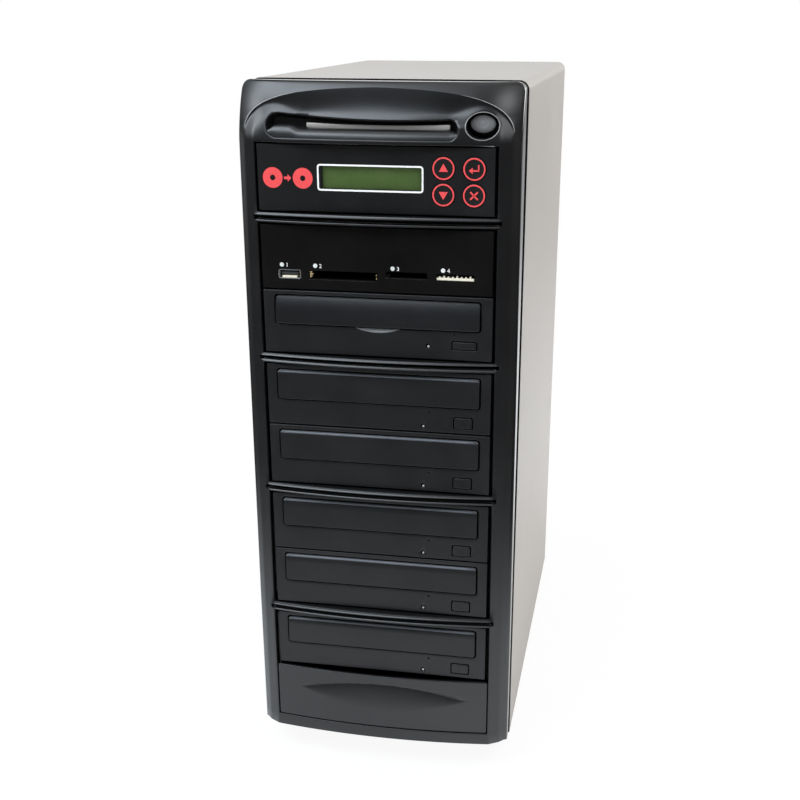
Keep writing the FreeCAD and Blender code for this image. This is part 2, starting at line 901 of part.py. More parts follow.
# Supply, fans and inlet
def supply_case():
    half = supply_width / 2
    outer = block(-half, half, supply_front_y, panel_inner_y, supply_bottom, supply_top)
    inner = block(sheet - half, half - sheet, supply_front_y + sheet, panel_inner_y - sheet,
                  supply_bottom + sheet, supply_top - sheet)
    wall_low = panel_inner_y - sheet
    cuts = [inner, rod(fan_bore / 2, supply_fan_x, supply_fan_z, wall_low, panel_inner_y)]
    cuts.append(inlet_block(-inlet_flange + sheet_gap, wall_low, panel_inner_y))
    cuts.append(rocker_block(sheet_gap, wall_low, panel_inner_y))
    hole = screw_radius + screw_hole_gap
    cuts += [rod(hole, x, z, wall_low, panel_inner_y) for x, z in supply_screw_places()]
    return outer.cut(cuts)


def inlet_block(grow, y_low, y_high):
    z = supply_bottom + inlet_rise
    return panel(inlet_x, z, inlet_width + 2 * grow, inlet_height + 2 * grow, y_low, y_high)


def power_inlet():
    face = panel_inner_y + inlet_flange
    body_back = face - inlet_depth
    flange = inlet_block(0, panel_inner_y, face)
    body = inlet_block(-inlet_flange, body_back, panel_inner_y)
    cavity = inlet_block(-inlet_flange - inlet_wall, body_back + inlet_wall, face)
    z = supply_bottom + inlet_rise
    pins = []
    for x, rise in ((-blade_pin_spacing / 2, 0), (0, earth_pin_rise), (blade_pin_spacing / 2, 0)):
        pins.append(panel(inlet_x + x, z + rise, blade_pin_width, blade_pin_height,
                          body_back, body_back + inlet_wall + blade_pin_length))
    return joined(joined(flange, [body]).cut(cavity), pins)


def rocker_block(grow, y_low, y_high):
    width = rocker_width + rocker_frame + 2 * grow
    height = rocker_height + rocker_frame + 2 * grow
    return panel(inlet_x, supply_bottom + rocker_rise, width, height, y_low, y_high)


def pivot_y():
    return panel_inner_y - rocker_depth / 3


def rocker_frame_solid():
    face = panel_inner_y + rocker_frame
    body_back = panel_inner_y - rocker_depth
    flange = rocker_block(rocker_frame / 2, panel_inner_y, face)
    body = rocker_block(0, body_back, panel_inner_y)
    well = rocker_block((rocker_clearance - rocker_frame) / 2, body_back + rocker_frame / 2, face)
    z = supply_bottom + rocker_rise
    half = rocker_width / 2 + rocker_frame / 2
    pivot = side_rod(pivot_radius + pivot_running_gap, pivot_y(), z, inlet_x - half, inlet_x + half)
    return joined(flange, [body]).cut([well, pivot])


def power_rocker():
    z = supply_bottom + rocker_rise
    half = rocker_width / 2 - rocker_clearance / 2
    face = panel_inner_y + rocker_frame
    tilt = math.radians(rocker_half_angle)
    tall = rocker_height / 2 - rocker_clearance - (face - pivot_y()) * math.sin(tilt)
    rise = math.tan(tilt) * tall
    root = pivot_y() - pivot_radius - rocker_frame / 2
    profile = [(root, z - pivot_radius), (face - rise, z - tall), (face, z - tall), (face - rise, z),
               (face, z + tall), (face - rise, z + tall), (root, z + pivot_radius)]
    cap = side_prism(profile, inlet_x - half, inlet_x + half)
    reach = rocker_width / 2 + rocker_frame / 2
    pivot = side_rod(pivot_radius, pivot_y(), z, inlet_x - reach, inlet_x + reach)
    tilted = joined(cap, [pivot])
    tilted.rotate(Vector(inlet_x, pivot_y(), z), Vector(1, 0, 0), -rocker_half_angle)
    return tilted


def fan_frame(x, z, back):
    half = fan_size / 2
    front = back - fan_depth
    frame = block(x - half, x + half, front, back, z - half, z + half)
    frame = frame.cut(rod(fan_bore / 2, x, z, front, back))
    stator_front = back - fan_stator_depth
    stator = rod(fan_stator_radius, x, z, stator_front, back)
    reach = fan_bore / 2 + (fan_size - fan_bore) / 4
    struts = [block(x - reach, x + reach, stator_front, back, z - fan_strut / 2, z + fan_strut / 2)]
    struts.append(block(x - fan_strut / 2, x + fan_strut / 2, stator_front, back, z - reach, z + reach))
    frame = joined(frame, [stator] + struts)
    reach = fan_screw_spacing / 2
    corners = [(x + u, z + w) for u in (-reach, reach) for w in (-reach, reach)]
    holes = [rod(screw_radius + screw_hole_gap, u, w, front, back) for u, w in corners]
    holes.append(rod(shaft_radius + shaft_running_gap, x, z, stator_front, stator_front + shaft_depth))
    return frame.cut(holes)


def fan_rotor(x, z, back):
    hub_back = back - fan_stator_depth - fan_axial_gap
    hub_front = back - fan_depth + fan_axial_gap
    hub = rod(fan_hub_radius, x, z, hub_front, hub_back)
    shaft = rod(shaft_radius, x, z, hub_back, back - fan_stator_depth + shaft_depth - fan_axial_gap / 2)
    tip = fan_bore / 2 - fan_tip_gap
    sweep = rod(tip, x, z, hub_front, hub_back)
    blades = []
    for index in range(blade_count):
        blade = block(0, tip, -blade_chord / 2, blade_chord / 2, -blade_thickness / 2, blade_thickness / 2)
        blade.rotate(Vector(0, 0, 0), Vector(1, 0, 0), blade_pitch)
        blade.rotate(Vector(0, 0, 0), Vector(0, 1, 0), index * 360 / blade_count)
        blade.translate(Vector(x, (hub_front + hub_back) / 2, z))
        blades.append(blade.common(sweep))
    return joined(hub, blades + [shaft])


def fan_guard(x, z, seat):
    end = seat + guard_wire
    outer = fan_bore / 2 - guard_wire
    rings = []
    for index in range(guard_ring_count):
        radius = outer - index * guard_ring_pitch
        disc = rod(radius + guard_wire / 2, x, z, seat, end)
        rings.append(disc.cut(rod(radius - guard_wire / 2, x, z, seat, end)))
    across = panel(x, z, 2 * outer, guard_wire, seat, end)
    upright = panel(x, z, guard_wire, 2 * outer, seat, end)
    return joined(across, [upright] + rings)


# Cables between the drives, the main board and the supply
def data_cable_x(index):
    return (index - (drive_count - 1) / 2) * data_cable_pitch


def data_cable(index):
    x = data_cable_x(index)
    low = unit_bottom[drive_name(index)] + plug_height
    high = unit_bottom["controller"] + main_board_lift + board_thickness + port_height / 2
    reach = drive_back_y + cable_room * (index + 1) / (drive_count + 1)
    board_end = face_y + unit_tray_depth
    thick = data_cable_thickness
    outline = [(drive_back_y, low), (reach, low), (reach, high), (board_end, high), (board_end, high - thick),
               (reach - thick, high - thick), (reach - thick, low + thick), (drive_back_y, low + thick)]
    return side_prism(outline, x - port_width / 2, x + port_width / 2)


def power_cable():
    low = supply_top - 2 * plug_height
    high = unit_bottom["drive_0"] + 2 * plug_height
    start = drive_back_y + cable_room / 3
    x, width, thick = power_cable_x, power_cable_width, power_cable_thickness
    trunk = panel(x, (low + high) / 2, width, high - low, start, start + thick)
    tail = panel(x, low + thick / 2, width, thick, start, supply_front_y)
    levels = [unit_bottom[drive_name(index)] + 3 * plug_height / 2 for index in range(drive_count)]
    plugs = [panel(x, level, width, plug_height, drive_back_y, start) for level in levels]
    return joined(trunk, [tail] + plugs)


os.makedirs("parts", exist_ok=True)
save("front_bezel", front_bezel())
save("light_strip", light_strip())
save("power_button", power_button())
save("power_switch", power_switch())
save("lower_bay_cover", lower_bay_cover())
save("outer_cover", outer_cover())
save("base_pan", base_pan())
save("front_frame", front_frame())
save("right_drive_rail", drive_rail(1))
save("left_drive_rail", drive_rail(-1))
save("rear_panel", rear_panel())
save_group("rubber_feet", rubber_feet())
save_group("drive_screws", drive_screws())
save_group("panel_screws", panel_screws())
save_group("drive_cases", [drive_case(index) for index in range(drive_count)])
save_group("drive_bezels", [drive_bezel(index) for index in range(drive_count)])
save_group("drive_mechanisms", [drive_mechanism(index) for index in range(drive_count)])
save_group("drive_leds", [drive_led(index) for index in range(drive_count)])
for drive_index in range(drive_count):
    save("tray_" + str(drive_index), disc_tray(drive_index))
    save("tray_door_" + str(drive_index), tray_door(drive_index))
    save("eject_button_" + str(drive_index), eject_button(drive_index))
save("controller_faceplate", controller_faceplate())
save("display_module", display_module())
save("key_board", key_board())
for key_name, (key_x, key_z) in zip(["key_up", "key_enter", "key_down", "key_escape"], key_places()):
    save(key_name, key(key_x, key_z))
save_group("unit_trays", [unit_tray("controller", main_board_depth, main_board_lift),
                          unit_tray("reader", reader_board_depth, reader_board_lift)])
save("main_board", main_board())
save("card_reader_faceplate", reader_faceplate())
save_group("card_sockets", [socket(mouth) for mouth in card_mouths])
save("usb_socket", usb_socket())
save("card_reader_board", reader_board())
save_group("reader_leds", [reader_led(column) for column in reader_led_columns()])
save("supply_case", supply_case())
save("power_inlet", power_inlet())
save("rocker_frame", rocker_frame_solid())
save("power_rocker", power_rocker())
supply_fan_back = panel_inner_y - sheet - supply_fan_wall_gap
save_group("fan_frames", [fan_frame(supply_fan_x, supply_fan_z, supply_fan_back),
                          fan_frame(0, case_fan_z, panel_inner_y)])
save("supply_fan_rotor", fan_rotor(supply_fan_x, supply_fan_z, supply_fan_back))
save("case_fan_rotor", fan_rotor(0, case_fan_z, panel_inner_y))
save_group("fan_guards", [fan_guard(supply_fan_x, supply_fan_z, panel_inner_y),
                          fan_guard(0, case_fan_z, panel_outer_y)])
save_group("data_cables", [data_cable(index) for index in range(drive_count)])
save("power_cable", power_cable())
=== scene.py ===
import bmesh
import bpy
import math
from mathutils import Matrix, Vector


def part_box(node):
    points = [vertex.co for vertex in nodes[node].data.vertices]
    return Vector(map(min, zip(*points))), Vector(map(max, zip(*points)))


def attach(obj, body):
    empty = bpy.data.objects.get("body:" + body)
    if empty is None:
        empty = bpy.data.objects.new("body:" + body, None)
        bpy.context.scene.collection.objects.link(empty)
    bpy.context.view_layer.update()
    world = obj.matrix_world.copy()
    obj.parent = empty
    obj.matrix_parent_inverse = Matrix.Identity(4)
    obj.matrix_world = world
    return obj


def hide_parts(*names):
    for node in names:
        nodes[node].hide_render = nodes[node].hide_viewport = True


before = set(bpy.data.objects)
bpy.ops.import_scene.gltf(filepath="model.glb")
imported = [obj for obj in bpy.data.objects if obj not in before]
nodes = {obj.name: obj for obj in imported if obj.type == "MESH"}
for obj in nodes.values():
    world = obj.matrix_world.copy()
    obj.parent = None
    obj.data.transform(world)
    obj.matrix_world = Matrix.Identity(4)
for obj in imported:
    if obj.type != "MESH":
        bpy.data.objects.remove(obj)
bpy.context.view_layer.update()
mm = 0.001  # sizes below are in millimetres, and a finished mesh is brought to metres
upright = Matrix.Rotation(math.pi / 2, 3, "X")
solidMerge = 0.002  # corners closer than this become one
fineMerge = 0.0005  # the same for small pieces
driveCount = 6
print("frame loaded:", len(nodes), "nodes")


# Shader maths: a Flow holds one socket, and Python operators add its Math nodes
class Flow:
    def __init__(self, tree, socket=None):
        self.tree = tree
        self.socket = socket

    def add(self, kind, settings, inputs, output=0):
        node = self.tree.nodes.new("ShaderNode" + kind)
        for key, value in settings.items():
            setattr(node, key, value)
        for key, value in inputs.items():
            if isinstance(value, Flow):
                self.tree.links.new(value.socket, node.inputs[key])
            else:
                node.inputs[key].default_value = value
        return Flow(self.tree, node.outputs[output])

    def maths(self, operation, first, second=0.0):
        return self.add("Math", {"operation": operation}, {0: first, 1: second})

    def __add__(self, other):
        return self.maths("ADD", self, other)

    def __radd__(self, other):
        return self.maths("ADD", other, self)

    def __sub__(self, other):
        return self.maths("SUBTRACT", self, other)

    def __rsub__(self, other):
        return self.maths("SUBTRACT", other, self)

    def __mul__(self, other):
        return self.maths("MULTIPLY", self, other)

    def __truediv__(self, other):
        return self.maths("DIVIDE", self, other)

    def feeds(self, shader, key):
        self.tree.links.new(self.socket, shader.inputs[key])


def newFinish(name, fixed):
    material = bpy.data.materials.new(name)
    material.use_nodes = True
    tree = material.node_tree
    shader = tree.nodes["Principled BSDF"]
    for key, value in fixed.items():
        shader.inputs[key].default_value = value
    place = Flow(tree).add("TexCoord", {}, {}, "Object")
    return material, shader, place


def speckle(place, size, detail=2.0):
    scale = 1 / (size * mm)
    return place.add("TexNoise", {}, {"Vector": place, "Scale": scale, "Detail": detail}, "Fac")


def blendColours(place, low, high, factor):
    settings = {"data_type": "RGBA"}
    return place.add("Mix", settings, {0: factor, 6: (*low, 1), 7: (*high, 1)}, 2)


def contrast(value, low, high):
    inputs = {"Value": value, "From Min": low, "From Max": high}
    return value.add("MapRange", {}, inputs, 0)


def alongAxis(place, axis):
    return place.add("SeparateXYZ", {}, {0: place}, axis)


def bumped(shader, place, height, depth, strength=1.0):
    inputs = {"Height": height, "Distance": depth * mm, "Strength": strength}
    place.add("Bump", {}, inputs, "Normal").feeds(shader, "Normal")


cloudLevels = (0.3, 0.7)  # soft noise is stretched between these two
plasticMix = {"dustLevels": (0.62, 0.78), "dustShare": 0.3, "dustRough": 0.08, "polish": 0.24,
              "cloudBump": 0.4}
paintMix = {"fleckLevels": (0.35, 0.65), "fleckShare": 0.25, "cloudRough": 0.1, "fleckRough": 0.06,
            "fleckBump": 0.3}
steelMix = {"smearShare": 0.4, "flakeRough": 0.12, "smearRough": 0.15}
inkMix = {"patch": 1.2, "fade": 0.88, "levels": (0.3, 0.6), "rough": 0.42, "roughSpread": 0.2, "depth": 0.02}


def mouldedPlastic(name, look):
    material, shader, place = newFinish(name, {"Specular IOR Level": look["specular"]})
    spark = speckle(place, look["grain"], 3.0)
    cloud = speckle(place, look["cloud"], 4.0)
    dust = contrast(speckle(place, look["dust"], 6.0), *plasticMix["dustLevels"])
    tone = contrast(cloud, *cloudLevels) * (1 - plasticMix["dustShare"]) + dust * plasticMix["dustShare"]
    blendColours(place, look["dark"], look["light"], tone).feeds(shader, "Base Color")
    rough = look["rough"] + (cloud - 0.5) * look["roughSpread"] + dust * plasticMix["dustRough"]
    if "polish" in look:  # flanks beyond these sizes are polished
        side = alongAxis(place, "X")
        upward = alongAxis(place, "Z")
        wide = side.maths("GREATER_THAN", side.maths("ABSOLUTE", side), look["polish"][0] * mm)
        high = upward.maths("GREATER_THAN", upward, look["polish"][1] * mm)
        rough = rough - wide.maths("MAXIMUM", wide, high) * plasticMix["polish"]
    rough.feeds(shader, "Roughness")
    bumped(shader, place, spark + cloud * plasticMix["cloudBump"], look["grainDepth"])
    return material


def paintedSteel(name, look):
    material, shader, place = newFinish(name, {"Specular IOR Level": look["specular"]})
    peel = speckle(place, look["peel"], 2.0)
    cloud = speckle(place, look["cloud"], 3.0)
    fleck = contrast(speckle(place, look["fleck"], 2.0), *paintMix["fleckLevels"])
    tone = contrast(cloud, *cloudLevels) * (1 - paintMix["fleckShare"]) + fleck * paintMix["fleckShare"]
    blendColours(place, look["dark"], look["light"], tone).feeds(shader, "Base Color")
    rough = look["rough"] + (cloud - 0.5) * paintMix["cloudRough"] + (fleck - 0.5) * paintMix["fleckRough"]
    rough.feeds(shader, "Roughness")
    bumped(shader, place, peel + fleck * paintMix["fleckBump"], look["peelDepth"])
    return material


def bareSteel(name, look):
    material, shader, place = newFinish(name, {"Metallic": 1.0})
    scale = 1 / (look["crystal"] * mm)
    crystal = place.add("TexVoronoi", {}, {"Vector": place, "Scale": scale}, "Color")
    flake = crystal.add("SeparateColor", {}, {0: crystal}, 0)
    smear = speckle(place, look["smear"], 5.0)
    tone = flake * (1 - steelMix["smearShare"]) + smear * steelMix["smearShare"]
    blendColours(place, look["dark"], look["light"], tone).feeds(shader, "Base Color")
    rough = look["rough"] + (flake - 0.5) * steelMix["flakeRough"] + (smear - 0.5) * steelMix["smearRough"]
    rough.feeds(shader, "Roughness")
    bumped(shader, place, smear, look["depth"])
    return material


def inkWithPaintedGlow(name, colour, paintedGlow):
    # The ink also glows a little though it is no lamp: painted light over its printed colour
    fixed = {"Specular IOR Level": 0.3, "Emission Color": (*colour, 1), "Emission Strength": paintedGlow}
    material, shader, place = newFinish(name, fixed)
    wear = speckle(place, inkMix["patch"], 4.0)
    faded = [channel * inkMix["fade"] for channel in colour]
    blendColours(place, faded, colour, contrast(wear, *inkMix["levels"])).feeds(shader, "Base Color")
    (inkMix["rough"] + (wear - 0.5) * inkMix["roughSpread"]).feeds(shader, "Roughness")
    bumped(shader, place, wear, inkMix["depth"])
    return material


def displayGlass(name, look):
    fixed = {"Coat Weight": 0.2, "Coat Roughness": 0.08, "Specular IOR Level": 0.2}
    material, shader, place = newFinish(name, fixed)
    across = alongAxis(place, "X") / (look["cellWidth"] * mm)
    upward = alongAxis(place, "Z") / (look["cellHeight"] * mm)
    cellX = across.maths("FRACT", across)
    cellZ = upward.maths("FRACT", upward)
    inColumn = cellX.maths("GREATER_THAN", cellX, look["gapX"])
    inCell = inColumn * cellZ.maths("GREATER_THAN", cellZ, look["gapZ"])
    cloud = contrast(speckle(place, look["cloud"], 4.0), *cloudLevels)
    pixel = speckle(place, look["pixel"], 1.0)
    tone = cloud * look["cloudShare"] + pixel * look["pixelShare"] - inCell * look["cellShare"]
    blendColours(place, look["dark"], look["light"], tone).feeds(shader, "Base Color")
    (look["rough"] + (cloud - 0.5) * look["roughSpread"]).feeds(shader, "Roughness")
    bumped(shader, place, pixel, look["depth"])
    return material


def circuitBoard(name, look):
    material, shader, place = newFinish(name, {"Specular IOR Level": 0.45})
    inputs = {"Vector": place, "Scale": 1 / (look["track"] * mm), "Mortar Size": look["trackWidth"]}
    inputs |= {"Color1": (0.0, 0.0, 0.0, 1), "Color2": (0.1, 0.1, 0.1, 1), "Mortar": (1, 1, 1, 1)}
    track = place.add("TexBrick", {"offset": look["shift"]}, inputs, "Fac")
    cloud = speckle(place, look["cloud"], 4.0)
    tone = track * look["trackShare"] + cloud * look["cloudShare"]
    blendColours(place, look["mask"], look["copper"], tone).feeds(shader, "Base Color")
    (look["rough"] + (cloud - 0.5) * look["roughSpread"]).feeds(shader, "Roughness")
    bumped(shader, place, track, look["depth"])
    return material


def softRubber(name, look):
    material, shader, place = newFinish(name, {"Specular IOR Level": 0.25})
    pore = speckle(place, look["pore"], 3.0)
    dust = contrast(speckle(place, look["dust"], 6.0), *look["dustLevels"])
    blendColours(place, look["dark"], look["light"], dust).feeds(shader, "Base Color")
    (look["rough"] + (pore - 0.5) * look["roughSpread"]).feeds(shader, "Roughness")
    bumped(shader, place, pore, look["depth"])
    return material


satinBlack = {"dark": (0.0065, 0.0065, 0.007), "light": (0.0095, 0.0095, 0.0102), "specular": 0.6,
              "rough": 0.34, "roughSpread": 0.08, "grain": 0.45, "grainDepth": 0.01, "cloud": 26.0,
              "dust": 5.0}
matteBlack = dict(satinBlack, dark=(0.0122, 0.0122, 0.0124), light=(0.018, 0.018, 0.0184), specular=0.04,
                  rough=0.46, grain=0.6, grainDepth=0.02)
driveBlack = dict(satinBlack, dark=(0.0128, 0.0128, 0.0134), light=(0.0184, 0.0184, 0.0196), specular=0.32,
                  rough=0.32, grain=0.5, grainDepth=0.02)
glossBlack = dict(satinBlack, dark=(0.008, 0.008, 0.0095), light=(0.012, 0.012, 0.0138), rough=0.36,
                  grainDepth=0.006)
readerBlack = dict(matteBlack, dark=(0.0056, 0.005, 0.005), light=(0.0088, 0.008, 0.0078))
keyBlack = dict(matteBlack, specular=0.25, rough=0.4, grainDepth=0.008)
trayGrey = dict(driveBlack, dark=(0.03, 0.03, 0.033), light=(0.05, 0.05, 0.054))
fanBlack = dict(driveBlack, specular=0.35, rough=0.38)
clearLens = dict(satinBlack, dark=(0.62, 0.64, 0.62), light=(0.80, 0.82, 0.80), rough=0.18, grainDepth=0.003)
lightGuide = dict(satinBlack, dark=(0.36, 0.345, 0.32), light=(0.44, 0.42, 0.39), rough=0.25,
                  grainDepth=0.006)
buttonGrey = dict(glossBlack, dark=(0.23, 0.23, 0.235), light=(0.32, 0.32, 0.328), rough=0.24)
# Pale grey for the ring round the power button's hole: a painted highlight
ringHighlightGrey = dict(buttonGrey, dark=(0.20, 0.20, 0.20), light=(0.26, 0.26, 0.26))
# Pale grey for the bead along the crease: a painted highlight
creaseHighlightGrey = dict(ringHighlightGrey, dark=(0.36, 0.36, 0.37), light=(0.44, 0.44, 0.45))
# Grey: a painted reflection on the door notch and painted highlights under the card mouths; plain grey
# elsewhere
greyAndHighlightLook = dict(satinBlack, dark=(0.15, 0.156, 0.162), light=(0.20, 0.206, 0.212), rough=0.36)
# Pale bluish grey for the strip on the writer doors' top bevel: a painted highlight
bevelHighlightLook = dict(driveBlack, dark=(0.085, 0.095, 0.11), light=(0.13, 0.142, 0.16))
tongueGrey = dict(satinBlack, dark=(0.035, 0.035, 0.04), light=(0.055, 0.055, 0.06), rough=0.4)
# Cream: the stick socket's insert, and a painted reflection low in the port's bore
creamAndReflectionLook = dict(satinBlack, dark=(0.72, 0.66, 0.50), light=(0.84, 0.79, 0.66), rough=0.4)
goldLook = dict(satinBlack, dark=(0.56, 0.42, 0.20), light=(0.70, 0.54, 0.30), rough=0.3)
# Warm light grey of the case: partly a painted reflection, the pale sheen a satin case shows when seen nearly
# edge-on
shellGreyAndSheen = {"dark": (0.352, 0.324, 0.297), "light": (0.378, 0.349, 0.32), "specular": 0.3, "rough": 0.36,
             "peel": 0.9, "peelDepth": 0.02, "cloud": 60.0, "fleck": 0.5}
zincLook = {"dark": (0.36, 0.37, 0.38), "light": (0.60, 0.61, 0.62), "rough": 0.4, "crystal": 5.0,
            "smear": 18.0, "depth": 0.01}
# Near-black zinc: painted shade for the steel that lies in shadow behind the front
shadeDarkenedZincLook = dict(zincLook, dark=(0.03, 0.03, 0.03), light=(0.05, 0.05, 0.05), rough=0.55)
panelLook = dict(zincLook, dark=(0.42, 0.42, 0.43), light=(0.62, 0.62, 0.63), rough=0.36, crystal=3.0)
screwLook = dict(zincLook, dark=(0.45, 0.45, 0.46), light=(0.75, 0.75, 0.76), rough=0.24, crystal=1.0)
socketLook = dict(zincLook, dark=(0.55, 0.54, 0.52), light=(0.80, 0.79, 0.76), rough=0.36, crystal=1.5)
chromeLook = dict(zincLook, dark=(0.66, 0.66, 0.67), light=(0.84, 0.84, 0.85), rough=0.12, crystal=2.0)
lcdLook = {"dark": (0.053, 0.094, 0.025), "light": (0.090, 0.136, 0.042), "cellWidth": 3.6, "cellHeight": 6.4,
           "gapX": 0.16, "gapZ": 0.12, "cloud": 14.0, "pixel": 0.5, "cloudShare": 0.55, "pixelShare": 0.35,
           "cellShare": 0.1, "rough": 0.34, "roughSpread": 0.08, "depth": 0.01}
boardLook = {"mask": (0.006, 0.06, 0.022), "copper": (0.03, 0.15, 0.06), "track": 6.0, "trackWidth": 0.09,
             "shift": 0.37, "cloud": 9.0, "trackShare": 0.7, "cloudShare": 0.2, "rough": 0.4,
             "roughSpread": 0.2, "depth": 0.04}
rubberLook = {"dark": (0.010, 0.010, 0.010), "light": (0.045, 0.043, 0.04), "pore": 0.35, "dust": 6.0,
              "dustLevels": (0.5, 0.75), "rough": 0.72, "roughSpread": 0.2, "depth": 0.05}
redInkColour = (0.76, 0.074, 0.078)
whiteInkColour = (0.86, 0.86, 0.85)

finishes = {
    "bezel_plastic": mouldedPlastic("satinBlackPlastic", dict(satinBlack, polish=(88.0, 471.5))),
    "light_plastic": mouldedPlastic("lightGuidePlastic", lightGuide),
    "button_plastic": mouldedPlastic("greyButtonPlastic", buttonGrey),
    "switch_plastic": mouldedPlastic("switchBlackPlastic", driveBlack),
    "shell_paint": paintedSteel("warmGreyPaintAndSheen", shellGreyAndSheen),
    "zinc_steel": bareSteel("zincSteel", zincLook),
    "panel_steel": bareSteel("panelSteel", panelLook),
    "foot_rubber": softRubber("footRubber", rubberLook),
    "screw_steel": bareSteel("screwSteel", screwLook),
    "drive_plastic": mouldedPlastic("driveBlackPlastic", driveBlack),
    "mechanism_plastic": mouldedPlastic("mechanismPlastic", dict(driveBlack, rough=0.5)),
    "tray_plastic": mouldedPlastic("trayGreyPlastic", trayGrey),
    "led_plastic": mouldedPlastic("clearLensPlastic", clearLens),
    "plate_plastic": mouldedPlastic("matteBlackPlate", matteBlack),
    "display_glass": displayGlass("oliveDisplay", lcdLook),
    "board_laminate": circuitBoard("greenLaminate", boardLook),
    "key_plastic": mouldedPlastic("keyBlackPlastic", keyBlack),
    "socket_steel": bareSteel("socketSteel", socketLook),
    "inlet_plastic": mouldedPlastic("inletBlackPlastic", dict(driveBlack, rough=0.45)),
    "fan_plastic": mouldedPlastic("fanBlackPlastic", fanBlack),
    "guard_chrome": bareSteel("guardChrome", chromeLook),
    "cable_rubber": softRubber("cableRubber", rubberLook),
}
emissiveRedInk = inkWithPaintedGlow("emissiveRedInk", redInkColour, 0.12)
emissiveWhiteInk = inkWithPaintedGlow("emissiveWhiteInk", whiteInkColour, 0.1)
goldContact = mouldedPlastic("goldContact", goldLook)
creamAndReflectionPlastic = mouldedPlastic("creamAndReflectionFinish", creamAndReflectionLook)
greyAndHighlightPlastic = mouldedPlastic("greyAndHighlightFinish", greyAndHighlightLook)
bevelHighlightFinish = mouldedPlastic("bevelHighlightPlastic", bevelHighlightLook)
greyTongue = mouldedPlastic("greyTonguePlastic", tongueGrey)
masterGloss = mouldedPlastic("glossBlackDoor", glossBlack)
darkSocket = mouldedPlastic("darkSocketPlastic", readerBlack)
readerPlastic = mouldedPlastic("readerBlackPlate", readerBlack)
holeRingHighlight = mouldedPlastic("ringHighlightPlastic", ringHighlightGrey)
creaseHighlightFinish = mouldedPlastic("creaseHighlightPlastic", creaseHighlightGrey)
shadeDarkenedSteel = bareSteel("shadeDarkenedZinc", shadeDarkenedZincLook)

for node in nodes.values():
    for holder in node.material_slots:
        holder.material = finishes[holder.material.name.split(".")[0]]
nodes["card_sockets"].material_slots[0].material = darkSocket
# Their steel is painted near black: painted shade for where they lie behind the front
shadedSteel = ["unit_trays", "front_frame", "drive_cases", "drive_screws", "left_drive_rail",
               "right_drive_rail"]  # these lie in the shadow behind the front
for name in shadedSteel:
    nodes[name].material_slots[0].material = shadeDarkenedSteel
print("finishes made:", len(bpy.data.materials))


def boxMm(node):
    low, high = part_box(node)
    return low / mm, high / mm


def finishPiece(name, bm, slot, body="chassis", replaced=(), material=None, sharp=35.0):
    bmesh.ops.scale(bm, vec=(mm, mm, mm), verts=bm.verts)
    for face in bm.faces:
        face.smooth = True
    for edge in bm.edges:
        flat = len(edge.link_faces) != 2 or edge.calc_face_angle() < math.radians(sharp)
        edge.smooth = flat and not edge.seam  # a seam marks a crisp crease
    mesh = bpy.data.meshes.new(name)
    bm.to_mesh(mesh)
    bm.free()
    if "custom_normal" in mesh.attributes:
        mesh.attributes.remove(mesh.attributes["custom_normal"])
    mesh.materials.clear()
    mesh.materials.append(material or finishes[slot])
    piece = bpy.data.objects.new(name, mesh)
    bpy.context.scene.collection.objects.link(piece)
    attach(piece, body)
    if replaced:
        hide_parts(*replaced)
    return piece


def thicken(piece, thickness):
    wall = piece.modifiers.new("wall", "SOLIDIFY")
    wall.thickness = thickness * mm
    wall.offset = -1.0


def evenNormals(piece):
    normals = piece.modifiers.new("normals", "WEIGHTED_NORMAL")
    normals.keep_sharp = True


def spread(marks, step, nearest=0.12):
    marks = sorted({round(mark, 3) for mark in marks})
    marks = marks[:1] + [mark for last, mark in zip(marks, marks[1:]) if mark - last > nearest]
    lines = []
    for low, high in zip(marks, marks[1:]):
        count = max(1, math.ceil((high - low) / step))
        lines += [low + (high - low) * index / count for index in range(count)]
    return lines + [marks[-1]]


def smoothStep(low, high, value):
    share = min(1.0, max(0.0, (value - low) / (high - low)))
    return share * share * (3 - 2 * share)


def reliefGrid(columns, rows, surface):
    bm = bmesh.new()
    across = len(columns) - 1
    upward = len(rows) - 1
    bmesh.ops.create_grid(bm, x_segments=across, y_segments=upward, size=0.5)
    for vert in bm.verts:
        x = columns[round((vert.co.x + 0.5) * across)]
        z = rows[round((vert.co.y + 0.5) * upward)]
        vert.co = (x, surface(x, z), z)
    return bm


def vertsOf(grown):
    return [part for part in grown["geom"] if isinstance(part, bmesh.types.BMVert)]


def edgesOf(grown):
    return [part for part in grown["geom"] if isinstance(part, bmesh.types.BMEdge)]


def outerRim(bm):
    return [edge for edge in bm.edges if edge.is_boundary]


# Takes the faces inside an outline away and gives the edges left around the hole
def openHole(bm, inside):
    gone = [face for face in bm.faces if inside(face.calc_center_median())]
    touched = dict.fromkeys(edge for face in gone for edge in face.edges)
    bmesh.ops.delete(bm, geom=gone, context="FACES")
    return [edge for edge in touched if edge.is_valid and edge.is_boundary]


def rimNormals(rim):
    sides = {}
    for edge in rim:
        middle = (edge.verts[0].co + edge.verts[1].co) / 2
        along = edge.verts[1].co - edge.verts[0].co
        out = Vector((-along.z, 0, along.x)).normalized()
        if out.dot(middle - edge.link_faces[0].calc_center_median()) < 0:
            out.negate()
        for vert in edge.verts:
            sides.setdefault(vert, []).append(out)
    aims = {}
    for vert, outs in sides.items():
        total = outs[0] + outs[-1]
        aims[tuple(vert.co)] = total / max(0.4, 1 + outs[0].dot(outs[-1]))
    return aims


